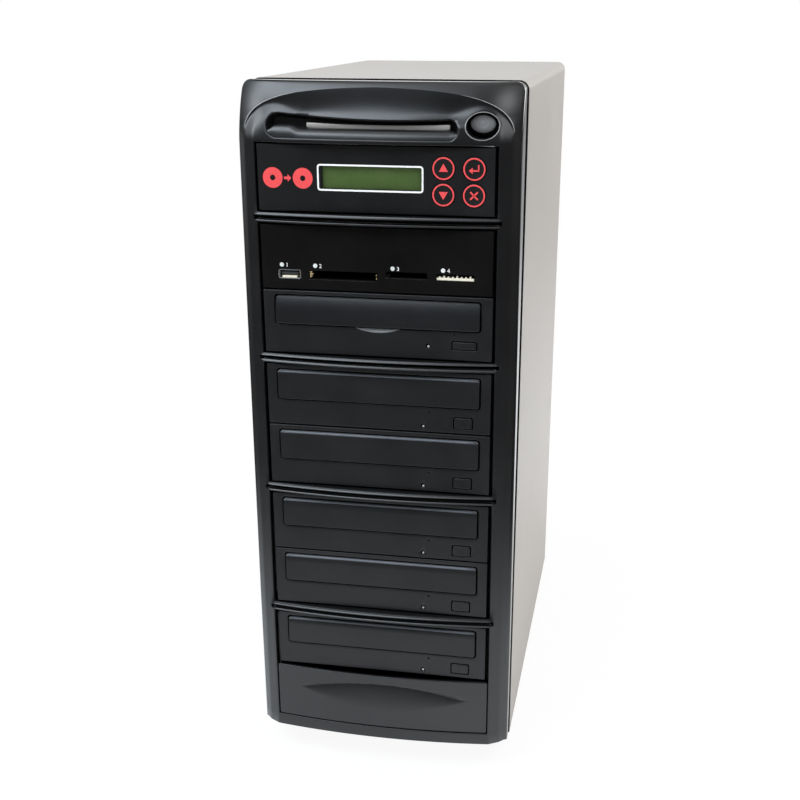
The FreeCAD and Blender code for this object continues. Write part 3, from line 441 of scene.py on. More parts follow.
# Rolls the edge of a skin round to the back, then carries it on: outwards, back, and perhaps to a depth
def rollEdge(bm, rim, radius, steps, turns=3, begin=0.0):
    aims = rimNormals(rim)
    moves = []
    for index in range(turns):
        start = begin + (math.pi / 2 - begin) * index / turns
        end = begin + (math.pi / 2 - begin) * (index + 1) / turns
        across = radius * (math.sin(end) - math.sin(start))
        moves.append((across, radius * (math.cos(start) - math.cos(end))))
    for across, back, *place in moves + steps:
        grown = bmesh.ops.extrude_edge_only(bm, edges=rim)
        rim = edgesOf(grown)
        nextAims = {}
        for vert in vertsOf(grown):
            aim = aims[tuple(vert.co)]
            vert.co += aim * across + Vector((0, back, 0))
            if place:
                vert.co.y = place[0]
            nextAims[tuple(vert.co)] = aim
        aims = nextAims
    return rim


def rimVerts(rim):
    return list(dict.fromkeys(vert for edge in rim for vert in edge.verts))


# A box with rounded corners, seen from the front: where a point of its grid goes,
# and how far inside the box a point lies
def roundedPlace(x, z, low, high, radius):
    nearX = min(max(x, low.x + radius), high.x - radius)
    nearZ = min(max(z, low.z + radius), high.z - radius)
    u = x - nearX
    w = z - nearZ
    if not u or not w:
        return x, z
    scale = max(abs(u), abs(w)) / math.hypot(u, w)
    return nearX + u * scale, nearZ + w * scale


def boxInside(x, z, low, high, radius):
    u = max(low.x + radius - x, x - high.x + radius)
    w = max(low.z + radius - z, z - high.z + radius)
    if u > 0 and w > 0:
        return radius - math.hypot(u, w)
    return radius - max(u, w)


# The moulded front: sizes of its plan, its lean and what is carved into it
bezelLow, bezelHigh = boxMm("front_bezel")
seamY = bezelHigh.y
frontY = bezelLow.y
halfWidth = bezelHigh.x
shellTop = bezelHigh.z
shellBottom = bezelLow.z
plateLow, plateHigh = boxMm("controller_faceplate")
readerLow, readerHigh = boxMm("card_reader_faceplate")
faceY = plateLow.y
coverLow, coverHigh = boxMm("lower_bay_cover")
coverTrim = 1.5  # the visible panel is a little narrower
coverLow.x += coverTrim
coverHigh.x -= coverTrim
unitHeight = plateHigh.z - plateLow.z
doorDrop = [3.4, 3.7, 3.7, 3.7, 3.7, 3.7]  # from a drive's top down to its door
driveTop = [boxMm("tray_door_" + str(index))[1].z + doorDrop[index] for index in range(driveCount)]

bezel = {"stripWidth": 12.35, "stripSlope": 0.6, "ridgeWidth": 5.45, "ridgeSlope": 0.5, "ridge": 0.7,
         "edgeBow": 5.41, "leanHeight": 41.0, "leanRadius": 67.0, "corner": 6.0, "chin": 13.7, "gap": 1.2,
         "headTrim": 0.5, "sideGap": 1.5, "coverGap": 0.7, "rim": 0.5, "jamb": 7.0, "wall": 2.0,
         "seamGap": 0.25, "edgeRound": 1.3, "edgeTilt": 0.66, "draft": 0.8, "lip": 1.0,
         "softStart": 50.0, "softFoot": 437.0, "softFull": 453.0, "flange": 2.6, "sillFlange": 4.5,
         "toe": 1.0, "toeTop": 430.0, "toeRun": 310.0, "toeFade": 30.0, "toeWide": 0.015}
bezelMesh = {"crown": 0.85, "side": 0.95, "middle": 1.7, "strip": 9.0, "middleSpan": (-54.0, 38.0),
             "nearest": 0.03, "settle": 3.5, "crease": 0.6, "creaseBand": 1.2, "creaseFoot": 10.0,
             "snap": 0.1}
probe = 0.05  # step over which the slope of an outline is measured
creaseProbe = 0.02
cove = {"top": 468.9, "peak": 1.0, "peakReach": 40.0, "reach": 84.5, "base": 437.0, "power": 2.9,
        "depth": 3.8, "endDepth": 1.0, "width": 30.0, "endWidth": 15.0, "floor": 0.45, "endFloor": 0.09,
        "ends": (44.0, 74.0), "foot": 437.0, "full": (441.0, 455.0)}
slot = {"left": -61.0, "right": 45.2, "foot": 439.35, "head": 449.78, "sag": 7.074e-4, "low": 9.0,
        "rim": 1.0, "floor": 15.0, "ramp": 5.3, "endRamp": 2.6, "rampEnd": (-46.0, -53.0),
        "rampHeight": 5.2, "rampDepth": 6.8}
bowlSteps = [(0.15, 0.4), (0.2, 0.7), (0.3, 1.1), (0.4, 1.4), (0.5, 1.6), (0.6, 1.6)]
powerHole = {"x": 65.4, "z": 447.8, "halfWidth": 9.7, "halfHeight": 7.55, "rim": 0.7, "depth": 9.0}
bar = {"lower": 1.65, "groove": 2.5, "grooveWall": 0.05, "depth": 8.0, "proud": 0.3, "slant": 0.85,
       "slantLean": 0.9, "reach": 78.6}

faceHalf = halfWidth - bezel["stripWidth"]
ridgeHalf = halfWidth - bezel["ridgeWidth"]
bowRadius = (faceHalf ** 2 + bezel["edgeBow"] ** 2) / (2 * bezel["edgeBow"])
windowHalf = plateHigh.x + bezel["sideGap"]
coverHalf = coverHigh.x + bezel["coverGap"]


# A slope that sets in softly where a value passes zero
def softRamp(past):
    ridge = bezel["ridge"]
    return max(0.0, past) if abs(past) > ridge else (past + ridge) ** 2 / (4 * ridge)


# Slanted side strips with an outer chamfer, which melt into one soft turn towards the crown
def bowAt(x, z):
    reach = min(abs(x), faceHalf)
    back = bowRadius - math.sqrt(bowRadius ** 2 - reach ** 2)
    strip = bezel["stripSlope"] * softRamp(abs(x) - faceHalf)
    strip += bezel["ridgeSlope"] * softRamp(abs(x) - ridgeHalf)
    full = bezel["stripSlope"] * bezel["stripWidth"] + bezel["ridgeSlope"] * bezel["ridgeWidth"]
    tail = max(0.0, abs(x) - faceHalf) * faceHalf / bowRadius
    share = max(0.0, abs(x) - bezel["softStart"]) / (halfWidth - bezel["softStart"])
    soft = tail + (full - bezel["stripWidth"] * faceHalf / bowRadius) * share ** 3
    melt = smoothStep(bezel["softFoot"], bezel["softFull"], z)
    return back + strip + (soft - strip) * melt


def frontAt(x, z):
    rise = max(0.0, z - shellTop + bezel["leanHeight"])
    return frontY + bowAt(x, z) + bezel["leanRadius"] - math.sqrt(bezel["leanRadius"] ** 2 - rise ** 2)


# Towards its foot the front stands further forward and grows a little wider
def leanForward(bm):
    for vert in bm.verts:
        low = min(1.0, max(0.0, (bezel["toeTop"] - vert.co.z) / bezel["toeRun"]))
        near = min(1.0, max(0.0, (seamY - vert.co.y) / bezel["toeFade"]))
        vert.co.y -= bezel["toe"] * low * near
        vert.co.x *= 1 + bezel["toeWide"] * low * near


# The arched crease of the crown, and how far a point lies inside it, below zero outside it
def creaseHeight(x):
    return cove["top"] - cove["peak"] * min(1.0, abs(x) / cove["peakReach"]) - cove["base"]


def creaseInset(x, z):
    across = abs(x) / cove["reach"]
    height = creaseHeight(x)
    upward = max(0.0, z - cove["base"]) / height
    power = cove["power"]
    share = (across ** power + upward ** power) ** (1 / power)
    share = max(share, 0.01)
    steepX = (across / share) ** (power - 1) / cove["reach"]
    steepZ = (upward / share) ** (power - 1) / height
    return (1 - share) / max(1e-6, math.hypot(steepX, steepZ))


# The hollow inside the crease: deepest low down in the middle, close to the crease at the ends
def coveAt(x, z):
    end = smoothStep(*cove["ends"], abs(x))
    depth = cove["depth"] + (cove["endDepth"] - cove["depth"]) * end
    width = cove["width"] + (cove["endWidth"] - cove["width"]) * end
    floor = cove["floor"] + (cove["endFloor"] - cove["floor"]) * end
    full = cove["full"][0] + (cove["full"][1] - cove["full"][0]) * end
    share = min(1.0, max(0.0, creaseInset(x, z) / width))
    if share < floor:
        bowl = math.sin(math.pi / 2 * share / floor)
    else:
        bowl = 0.5 + 0.5 * math.cos(math.pi * (share - floor) / (1 - floor))
    return depth * bowl * smoothStep(cove["foot"], full, z)


# Spine and half height of the slot: how far inside its outline a point lies
def slotInside(x, z):
    near = min(max(x, slot["left"]), slot["right"])
    head = slot["head"] + slot["sag"] * (near - slot["low"]) ** 2
    return (head - slot["foot"]) / 2 - math.hypot(x - near, z - (head + slot["foot"]) / 2)


def holeInside(x, z):
    across = (x - powerHole["x"]) / powerHole["halfWidth"]
    upward = (z - powerHole["z"]) / powerHole["halfHeight"]
    return (1 - math.hypot(across, upward)) * powerHole["halfHeight"]


openingSpans = [(driveTop[5] - unitHeight, driveTop[5]), (driveTop[4] - unitHeight, driveTop[3])]
openingSpans += [(driveTop[2] - unitHeight, driveTop[1]), (driveTop[0] - unitHeight, readerHigh.z)]
openingSpans += [(plateLow.z, plateHigh.z - bezel["headTrim"])]
barFeet = [span[1] + bezel["gap"] for span in openingSpans[:-1]]
barHeight = openingSpans[1][0] - openingSpans[0][1] - 2 * bezel["gap"]


def barAt(x, z):
    fade = 1 - smoothStep(windowHalf, bar["reach"], abs(x))
    grooveTop = bar["lower"] + bar["groove"]
    for foot in barFeet:
        up = z - foot
        if not 0 <= up <= barHeight:
            continue
        if bar["lower"] < up < grooveTop:
            return bar["depth"] * fade
        top = bar["lower"] if up <= bar["lower"] else barHeight - bezel["rim"]
        return (max(0.0, up - top + bar["slant"]) * bar["slantLean"] - bar["proud"]) * fade
    return 0.0


def bezelSurface(x, z):
    return frontAt(x, z) + coveAt(x, z) + barAt(x, z)


def roundCorner(x, z):
    turn = Vector((bezel["edgeRound"], 0, bezel["edgeRound"]))
    below = Vector((-halfWidth, 0, shellBottom - shellTop))
    return roundedPlace(x, z, below + turn, bezelHigh - turn, bezel["corner"] - bezel["edgeRound"])


# Brings the edge of a cut hole onto its true outline and evens out the mesh around it
def settleOutline(bm, rim, inside, surface, reach):
    fixed = dict.fromkeys(rimVerts(rim))
    for vert in fixed:
        for repeat in range(4):
            here = inside(vert.co.x, vert.co.z)
            slopeX = inside(vert.co.x + probe, vert.co.z) - here
            slopeZ = inside(vert.co.x, vert.co.z + probe) - here
            steep = max(1e-9, slopeX ** 2 + slopeZ ** 2) / probe
            vert.co.x -= here * slopeX / steep
            vert.co.z -= here * slopeZ / steep
    loose = []
    for vert in bm.verts:
        if not vert.is_boundary and vert not in fixed and -reach < inside(vert.co.x, vert.co.z) < 0.6:
            loose.append(vert)
    for repeat in range(5):
        bmesh.ops.smooth_vert(bm, verts=loose, factor=0.5, use_axis_x=True, use_axis_z=True)
    for vert in loose + list(fixed):
        vert.co.y = surface(vert.co.x, vert.co.z)


# Lays one corner of each grid line onto the crease, so that it is crisp
def settleCrease(bm):
    nearest = {}
    for vert in bm.verts:
        x = vert.co.x
        z = vert.co.z
        away = creaseInset(x, z)
        if z < cove["base"] + bezelMesh["creaseFoot"] or abs(away) > bezelMesh["creaseBand"]:
            continue
        slopeX = (creaseInset(x + creaseProbe, z) - away) / creaseProbe
        slopeZ = (creaseInset(x, z + creaseProbe) - away) / creaseProbe
        steep = abs(slopeX) > abs(slopeZ)
        key = (steep, x > 0, round(z if steep else x, 2))
        shift = Vector((away / slopeX, 0, 0)) if steep else Vector((0, 0, away / slopeZ))
        if key not in nearest or shift.length < nearest[key][0].length:
            nearest[key] = (shift, vert)
    path = {}
    for shift, vert in nearest.values():
        if shift.length < bezelMesh["crease"] and vert not in path:
            vert.co -= shift
            vert.co.y = bezelSurface(vert.co.x, vert.co.z)
            path[vert] = shift
    bmesh.ops.connect_verts(bm, verts=list(path))
    for edge in bm.edges:
        edge.seam = all(vert in path for vert in edge.verts)


def bezelColumns():
    rim = bezel["rim"]
    inner = [windowHalf + rim, coverHalf + rim, faceHalf, halfWidth - bezel["corner"], ridgeHalf]
    inner.append(halfWidth - bezel["edgeRound"])
    left, right = bezelMesh["middleSpan"]
    columns = spread([-1 * mark for mark in inner] + [left], bezelMesh["side"])
    columns += spread([left, right], bezelMesh["middle"])[1:-1]
    return columns + spread([right] + inner, bezelMesh["side"])


def bezelRows():
    rim = bezel["rim"]
    turn = bezel["edgeRound"]
    rows = [shellBottom + bezel["chin"] + turn, coverLow.z - bezel["coverGap"] - rim]
    rows.append(openingSpans[0][0] - bezel["gap"])
    for low, high in openingSpans:
        rows.append(high + bezel["gap"] + rim)
    for low, high in openingSpans[1:]:
        rows.append(low - bezel["gap"] - rim)
    lower = bar["lower"]
    grooveTop = lower + bar["groove"]
    slant = bar["slant"]
    wall = bar["grooveWall"]
    for foot in barFeet:
        marks = [rim, lower - slant, lower - slant / 2, lower, lower + wall, grooveTop - wall, grooveTop]
        marks += [barHeight - rim - slant, barHeight - rim - slant / 2]
        rows += [foot + mark for mark in marks]
    crown = [openingSpans[-1][1] + bezel["gap"] + rim, shellTop - bezel["corner"], shellTop - turn]
    return spread(rows, bezelMesh["strip"], bezelMesh["nearest"])[:-1] + spread(crown, bezelMesh["crown"])


def inWindow(point):
    rim = bezel["rim"]
    grow = bezel["gap"] + rim
    for low, high in openingSpans:
        if low - grow < point.z < high + grow and abs(point.x) < windowHalf + rim:
            return True
    foot = coverLow.z - bezel["coverGap"] - rim
    return foot < point.z < openingSpans[0][0] and abs(point.x) < coverHalf + rim


# Flanges behind the windows close the view past the plates into the case
def addFlanges(bm, jamb):
    snap = bezelMesh["snap"]
    sides = [link for link in jamb if min(abs(vert.co.x) for vert in link.verts) > coverHalf - snap]
    sill = openingSpans[-1][0] - bezel["gap"]
    feet = [link for link in jamb if max(abs(vert.co.z - sill) for vert in link.verts) < snap]
    for vert in vertsOf(bmesh.ops.extrude_edge_only(bm, edges=sides + feet)):
        if abs(vert.co.x) > coverHalf - snap:
            vert.co.x -= math.copysign(bezel["flange"], vert.co.x)
        if abs(vert.co.z - sill) < snap:
            vert.co.z += bezel["sillFlange"]


# The slot is a bowl whose foot climbs towards its back
def carveSlot(bm, rim):
    bowl = rollEdge(bm, rim, slot["rim"], bowlSteps, 4)
    for vert in rimVerts(bowl):
        vert.co.y = frontY + slot["floor"]
    bmesh.ops.holes_fill(bm, edges=bowl, sides=0)
    for vert in bm.verts:
        sunk = vert.co.y - bezelSurface(vert.co.x, vert.co.z) - slot["rim"]
        if slotInside(vert.co.x, vert.co.z) > -bezelMesh["snap"] and sunk > 0:
            low = slot["foot"] + slot["rampHeight"] - vert.co.z
            depth = min(1.0, sunk / slot["rampDepth"])
            ramp = slot["ramp"] + slot["endRamp"] * smoothStep(*slot["rampEnd"], vert.co.x)
            vert.co.z += ramp * smoothStep(0.0, slot["rampHeight"], low) * math.sqrt(depth * (2 - depth))


# The outer edge turns back over the case and ends in a thin lip at the seam
def turnBezelEdge(bm, outer):
    turn = bezel["edgeRound"]
    lipY = seamY - bezel["lip"]
    draft = bezel["draft"]
    sweep = turn / (1 - math.sin(bezel["edgeTilt"]))
    walls = [(-draft, 0, lipY), (draft, 0, lipY), (0, 0, seamY - bezel["seamGap"])]
    rollEdge(bm, outer, sweep, walls, 5, bezel["edgeTilt"])
    for vert in bm.verts:
        if vert.co.y > lipY - 0.01 and vert.co.z < shellBottom + bezel["chin"] + turn:
            vert.co.z = shellBottom


def makeBezel():
    bm = reliefGrid(bezelColumns(), bezelRows(), bezelSurface)
    for vert in bm.verts:
        x, z = roundCorner(vert.co.x, vert.co.z)
        vert.co = (x, bezelSurface(x, z), z)
    settleCrease(bm)
    outer = outerRim(bm)
    windows = openHole(bm, inWindow)
    rims = []
    for inside, rim in ((slotInside, slot["rim"]), (holeInside, powerHole["rim"])):
        def grown(x, z, inside=inside, rim=rim):
            return inside(x, z) + rim
        cut = openHole(bm, lambda point: grown(point.x, point.z) > 0)
        settleOutline(bm, cut, grown, bezelSurface, bezelMesh["settle"])
        rims.append(cut)
    addFlanges(bm, rollEdge(bm, windows, bezel["rim"], [(0, 0, faceY + bezel["jamb"])]))
    carveSlot(bm, rims[0])
    rollEdge(bm, rims[1], powerHole["rim"], [(0.1, powerHole["depth"] / 2)] * 2, 4)
    turnBezelEdge(bm, outer)
    bmesh.ops.remove_doubles(bm, verts=bm.verts, dist=solidMerge)
    leanForward(bm)
    piece = finishPiece("bezelShell", bm, "bezel_plastic", replaced=["front_bezel"], sharp=40.0)
    thicken(piece, bezel["wall"])


makeBezel()
print("front bezel made")


# Plates: rounded skins, openings with rolled rims, and a closed back
plateWall = [(0.0, 0.2)]  # a short straight wall behind a rolled edge


def cornerMarks(low, high, corner, turns=4):
    marks = []
    for index in range(turns + 1):
        marks += [low + corner * index / turns, high - corner * index / turns]
    return marks


def roundedSkin(low, high, corner, step, surface, extraRows=()):
    columns = spread(cornerMarks(low.x, high.x, corner), step)
    rows = spread(cornerMarks(low.z, high.z, corner) + list(extraRows), step)
    bm = reliefGrid(columns, rows, surface)
    for vert in bm.verts:
        x, z = roundedPlace(vert.co.x, vert.co.z, low, high, corner)
        vert.co = (x, surface(x, z), z)
    return bm


def closeBack(bm, rims, backY):
    for vert in rimVerts(rims):
        vert.co.y = backY
    bmesh.ops.triangle_fill(bm, use_beauty=True, edges=rims, normal=(0, 1, 0))
    bmesh.ops.recalc_face_normals(bm, faces=bm.faces)


def roundedPlate(low, high, look, surface, extraRows=()):
    edge = Vector((look["edge"], 0, look["edge"]))
    bm = roundedSkin(low + edge, high - edge, look["corner"], look["step"], surface, extraRows)
    closeBack(bm, rollEdge(bm, outerRim(bm), look["edge"], plateWall), high.y)
    return bm


def opening(x, z, width, height, corner):
    half = Vector((width / 2, 0, height / 2))
    return {"low": Vector((x, 0, z)) - half, "high": Vector((x, 0, z)) + half, "corner": corner}


def openingAround(node, gap, corner):
    low, high = boxMm(node)
    grow = Vector((gap, 0, gap))
    return {"low": low - grow, "high": high + grow, "corner": corner}


def roundOpening(x, z, radius):
    return opening(x, z, 2 * radius, 2 * radius, radius)


def cutPlate(low, high, look, openings, surface):
    rim = look["rim"]
    edge = Vector((look["edge"], 0, look["edge"]))
    skinLow = low + edge
    skinHigh = high - edge
    columns = cornerMarks(skinLow.x, skinHigh.x, look["corner"])
    rows = cornerMarks(skinLow.z, skinHigh.z, look["corner"])
    for hole in openings:
        columns += cornerMarks(hole["low"].x - rim, hole["high"].x + rim, hole["corner"] + rim)
        rows += cornerMarks(hole["low"].z - rim, hole["high"].z + rim, hole["corner"] + rim)
    bm = reliefGrid(spread(columns, look["step"]), spread(rows, look["step"]), surface)
    for vert in bm.verts:
        x, z = roundedPlace(vert.co.x, vert.co.z, skinLow, skinHigh, look["corner"])
        vert.co = (x, surface(x, z), z)
    outer = outerRim(bm)
    rims = []
    for hole in openings:
        def inside(x, z, hole=hole):
            return boxInside(x, z, hole["low"], hole["high"], hole["corner"]) + rim
        cut = openHole(bm, lambda point: inside(point.x, point.z) > 0)
        settleOutline(bm, cut, inside, surface, look["settle"])
        rims.append(cut)
    backs = rollEdge(bm, outer, look["edge"], plateWall)
    for cut in rims:
        backs += rollEdge(bm, cut, rim, plateWall)
    closeBack(bm, backs, high.y)
    return bm


# Turned pieces: a profile of (radius, height) pairs about an axis along y
def lathe(profile, x, z, steps=48, oval=1.0):
    bm = bmesh.new()
    verts = [bm.verts.new((radius, height, 0)) for radius, height in profile]
    edges = [bm.edges.new(pair) for pair in zip(verts, verts[1:])]
    bmesh.ops.spin(bm, geom=verts + edges, cent=(0, 0, 0), axis=(0, 1, 0), angle=2 * math.pi, steps=steps,
                   use_merge=True)
    bmesh.ops.remove_doubles(bm, verts=bm.verts, dist=fineMerge)
    bmesh.ops.scale(bm, vec=(1, 1, oval), verts=bm.verts)
    bmesh.ops.translate(bm, vec=(x, 0, z), verts=bm.verts)
    bmesh.ops.recalc_face_normals(bm, faces=bm.faces)
    return bm


# Profile of a round wire that is bent to a ring
def wireProfile(radius, height, thick, sides):
    turns = [2 * math.pi * index / sides for index in range(sides + 1)]
    return [(radius + thick * math.cos(turn), height + thick * math.sin(turn)) for turn in turns]


def joinInto(bm, part):
    spare = bpy.data.meshes.new("spare")
    part.to_mesh(spare)
    part.free()
    bm.from_mesh(spare)
    bpy.data.meshes.remove(spare)


# A flat sign, drawn as an outline and raised a little from the face that carries it
def addSign(bm, outline, base, height):
    face = bm.faces.new([bm.verts.new((x, base, z)) for x, z in outline])
    grown = bmesh.ops.extrude_face_region(bm, geom=[face])
    bmesh.ops.translate(bm, vec=(0, -height, 0), verts=vertsOf(grown))
    bmesh.ops.recalc_face_normals(bm, faces=bm.faces)


def barOutline(start, end, width):
    along = Vector((end[0] - start[0], end[1] - start[1])).normalized()
    side = Vector((-along.y, along.x)) * width / 2
    first = Vector(start)
    second = Vector(end)
    return [tuple(first - side), tuple(second - side), tuple(second + side), tuple(first + side)]


# Solids of one node, told apart: the box of each, in millimetres
def islandBoxes(node):
    bm = bmesh.new()
    bm.from_mesh(nodes[node].data)
    bmesh.ops.scale(bm, vec=(1 / mm, 1 / mm, 1 / mm), verts=bm.verts)
    bmesh.ops.remove_doubles(bm, verts=bm.verts, dist=solidMerge)
    waiting = set(bm.verts)
    boxes = []
    while waiting:
        group = [waiting.pop()]
        for vert in group:
            for link in vert.link_edges:
                other = link.other_vert(vert)
                if other in waiting:
                    waiting.remove(other)
                    group.append(other)
        low = Vector([min(vert.co[axis] for vert in group) for axis in range(3)])
        high = Vector([max(vert.co[axis] for vert in group) for axis in range(3)])
        boxes.append((low, high))
    bm.free()
    return sorted(boxes, key=lambda box: (round(box[0].z, 1), round(box[0].x, 1), round(box[0].y, 1)))


# A copy of a machined or moulded solid with its edges broken
def softened(name, node, slot, body, radius, segments=2):
    bm = bmesh.new()
    bm.from_mesh(nodes[node].data)
    bmesh.ops.scale(bm, vec=(1 / mm, 1 / mm, 1 / mm), verts=bm.verts)
    bmesh.ops.remove_doubles(bm, verts=bm.verts, dist=solidMerge)
    bmesh.ops.dissolve_limit(bm, angle_limit=math.radians(1), verts=bm.verts, edges=bm.edges)
    edges = []
    for link in bm.edges:
        long = link.calc_length() > 3 * radius
        if long and len(link.link_faces) == 2 and link.calc_face_angle() > math.radians(30):
            edges.append(link)
    bmesh.ops.bevel(bm, geom=edges, offset=radius, offset_type="OFFSET", affect="EDGES", segments=segments,
                    profile=0.5, material=-1, clamp_overlap=True)
    piece = finishPiece(name, bm, slot, body, [node])
    evenNormals(piece)
    return piece


# Lower cover with its almond-shaped finger scoop: sharp brow, soft foot
coverLook = {"corner": 0.6, "edge": 0.5, "step": 1.6, "rowEdge": 1.2, "rowStep": 0.6, "recess": 0.35,
             "wall": 2.0}
scoop = {"left": -60.0, "right": 63.0, "tip": 56.3, "brow": 64.6, "foot": 42.8, "depth": 4.0, "wall": 1.8,
         "endPower": 0.7, "risePower": 1.4}


def scoopAt(x, z):
    middle = (scoop["left"] + scoop["right"]) / 2
    share = 1 - ((x - middle) / (scoop["right"] - middle)) ** 2
    if share <= 0:
        return 0.0
    upper = scoop["tip"] + (scoop["brow"] - scoop["tip"]) * share
    lower = scoop["tip"] - (scoop["tip"] - scoop["foot"]) * share
    wall = smoothStep(0.0, scoop["wall"], upper - z)
    rise = min(1.0, max(0.0, (z - lower) / (upper - lower)))
    return scoop["depth"] * share ** scoop["endPower"] * wall * rise ** scoop["risePower"]


def coverSurface(x, z):
    return frontAt(x, z) + coverLook["recess"] + scoopAt(x, z)


def makeLowerCover():
    edge = Vector((coverLook["edge"], 0, coverLook["edge"]))
    ends = [coverLow.z + coverLook["rowEdge"], coverHigh.z - coverLook["rowEdge"]]
    rows = spread(ends, coverLook["rowStep"])
    bm = roundedSkin(coverLow + edge, coverHigh - edge, coverLook["corner"], coverLook["step"], coverSurface,
                     rows)
    rollEdge(bm, outerRim(bm), coverLook["edge"], [(0.0, coverLook["wall"])])
    leanForward(bm)
    bmesh.ops.recalc_face_normals(bm, faces=bm.faces)
    piece = finishPiece("lowerCover", bm, "bezel_plastic", replaced=["lower_bay_cover"], sharp=50.0)
    thicken(piece, coverLook["wall"] / 2)


makeLowerCover()
print("lower cover made")


# Bent light guide at the bottom of the slot
strip = {"edge": 0.5, "corner": 0.7, "step": 2.5, "rowEdge": 0.6, "rowStep": 0.4, "sag": 1.0, "crown": 0.35,
         "lift": 0.8}


def makeLightStrip():
    low, high = boxMm("light_strip")
    middle = (low.x + high.x) / 2
    half = (high.x - low.x) / 2
    centreZ = (low.z + high.z) / 2

    def surface(x, z):
        return low.y + strip["crown"] * (2 * (z - centreZ) / (high.z - low.z)) ** 2

    rows = spread([low.z + strip["rowEdge"], high.z - strip["rowEdge"]], strip["rowStep"])
    bm = roundedPlate(low, high, strip, surface, rows)
    for vert in bm.verts:
        share = 1 - ((vert.co.x - middle) / half) ** 2
        vert.co.z += strip["lift"] - strip["sag"] * share
    finishPiece("lightGuide", bm, "light_plastic", replaced=["light_strip"])


# Oval power button: a dome with fine rings turned into its middle
button = {"edge": 0.16, "dome": 1.3, "rings": [0.12, 0.22, 0.33], "ringHalf": 0.03, "ringDepth": 0.16,
          "shares": [0.45, 0.58, 0.7, 0.8], "turns": [0.35, 0.7, 1.0], "shift": (-0.6, 0.8), "flat": 0.93}
holeRingLook = {"out": 0.35, "thick": 0.36, "sides": 8, "sink": 0.1}


def makePowerButton():
    low, high = boxMm("power_button")
    width = (high.x - low.x) / 2
    height = (high.z - low.z) / 2
    profile = [(0.0, low.y)]
    for ring in button["rings"]:
        for offset, depth in ((-1, 0.0), (0, button["ringDepth"]), (1, 0.0)):
            share = ring + offset * button["ringHalf"]
            profile.append((share * width, low.y + button["dome"] * share ** 3 + depth))
    shares = button["shares"] + [1 - button["edge"]]
    profile += [(share * width, low.y + button["dome"] * share ** 3) for share in shares]
    shoulder = profile[-1][1]
    for turn in button["turns"]:
        angle = turn * math.pi / 2
        out = width * (1 - button["edge"] * (1 - math.sin(angle)))
        profile.append((out, shoulder + width * button["edge"] * (1 - math.cos(angle))))
    profile += [(width, high.y), (0.0, high.y)]
    x = (low.x + high.x) / 2 + button["shift"][0]
    z = (low.z + high.z) / 2 + button["shift"][1]
    bm = lathe(profile, x, z, steps=64, oval=height / width * button["flat"])
    finishPiece("powerDome", bm, "button_plastic", "power_button_body", ["power_button"], sharp=50.0)


# Thin raised ring that follows the crown around the button's hole; its pale grey is a painted highlight
def makeHoleRing():
    radius = powerHole["halfWidth"] + holeRingLook["out"]
    profile = wireProfile(radius, 0.0, holeRingLook["thick"], holeRingLook["sides"])
    oval = (powerHole["halfHeight"] + holeRingLook["out"]) / radius
    bm = lathe(profile, powerHole["x"], powerHole["z"], steps=72, oval=oval)
    for vert in bm.verts:
        vert.co.y += bezelSurface(vert.co.x, vert.co.z) + holeRingLook["sink"]
    finishPiece("buttonRing", bm, "button_plastic", material=holeRingHighlight)


# Rounded edge of the crease at both ends of the hollow, coloured pale grey: a painted highlight on the black
# front
creaseEdge = {"from": 0.08, "to": 0.74, "steps": 60, "sides": 8, "radius": 0.36, "tip": 0.04, "swell": 5,
              "sink": 0.08}


def creaseEdgeSide(side):
    lengths = [index / creaseEdge["steps"] for index in range(creaseEdge["steps"] + 1)]
    turns = [index / creaseEdge["sides"] for index in range(creaseEdge["sides"] + 1)]
    bm = reliefGrid(lengths, turns, lambda along, turn: 0.0)
    for vert in bm.verts:
        along = vert.co.x
        swing = 2 * math.pi * vert.co.z
        angle = math.pi / 2 * (creaseEdge["from"] + (creaseEdge["to"] - creaseEdge["from"]) * along)
        x = cove["reach"] * math.cos(angle) ** (2 / cove["power"])
        z = cove["base"] + creaseHeight(x) * math.sin(angle) ** (2 / cove["power"])
        swell = min(1.0, creaseEdge["swell"] * along) * (1 - along)
        radius = creaseEdge["tip"] + creaseEdge["radius"] * swell
        out = radius * math.cos(swing)
        back = bezelSurface(side * x, z) + creaseEdge["sink"] - radius * math.sin(swing)
        vert.co = (side * (x + out * math.cos(angle)), back, z + out * math.sin(angle))
    bmesh.ops.remove_doubles(bm, verts=bm.verts, dist=fineMerge)
    bmesh.ops.holes_fill(bm, edges=outerRim(bm), sides=0)
    bmesh.ops.recalc_face_normals(bm, faces=bm.faces)
    return bm


def makeCreaseEdge():
    bm = creaseEdgeSide(-1)
    joinInto(bm, creaseEdgeSide(1))
    finishPiece("creaseEdge", bm, "bezel_plastic", material=creaseHighlightFinish, sharp=60.0)


makeLightStrip()
makePowerButton()
makeHoleRing()
makeCreaseEdge()
print("light strip and power button made")


# Drive fronts, their doors and eject buttons: drive 0 reads, the others write
driveFace = {"edge": 0.5, "rim": 0.45, "corner": 0.5, "step": 5.0, "settle": 0.9, "doorGap": 0.85,
             "doorCorner": 2.0, "ejectGap": 0.6, "ejectCorner": 1.1, "ledHole": 1.6, "pinHole": 0.55,
             "pinX": [50.2, 34.2], "pinDrop": [24.2, 27.4]}
notch = {"x": 0.5, "half": 14.6, "height": 2.9, "lean": 0.55, "lift": 0.06, "inset": 0.3, "step": 1.0,
         "rowShare": 0.25, "wall": 0.4}
writerDoor = {"edge": 0.3, "corner": 1.5, "step": 4.0, "bevel": 1.4, "bevelLean": 0.93, "proud": 0.6,
              "rises": [0.0, 0.15, 0.6, 1.0]}
bevelHighlightStrip = {"lift": 0.04, "inset": 1.9, "step": 6.0, "foot": 0.12, "drops": [0.5, 0.02], "wall": 0.1}
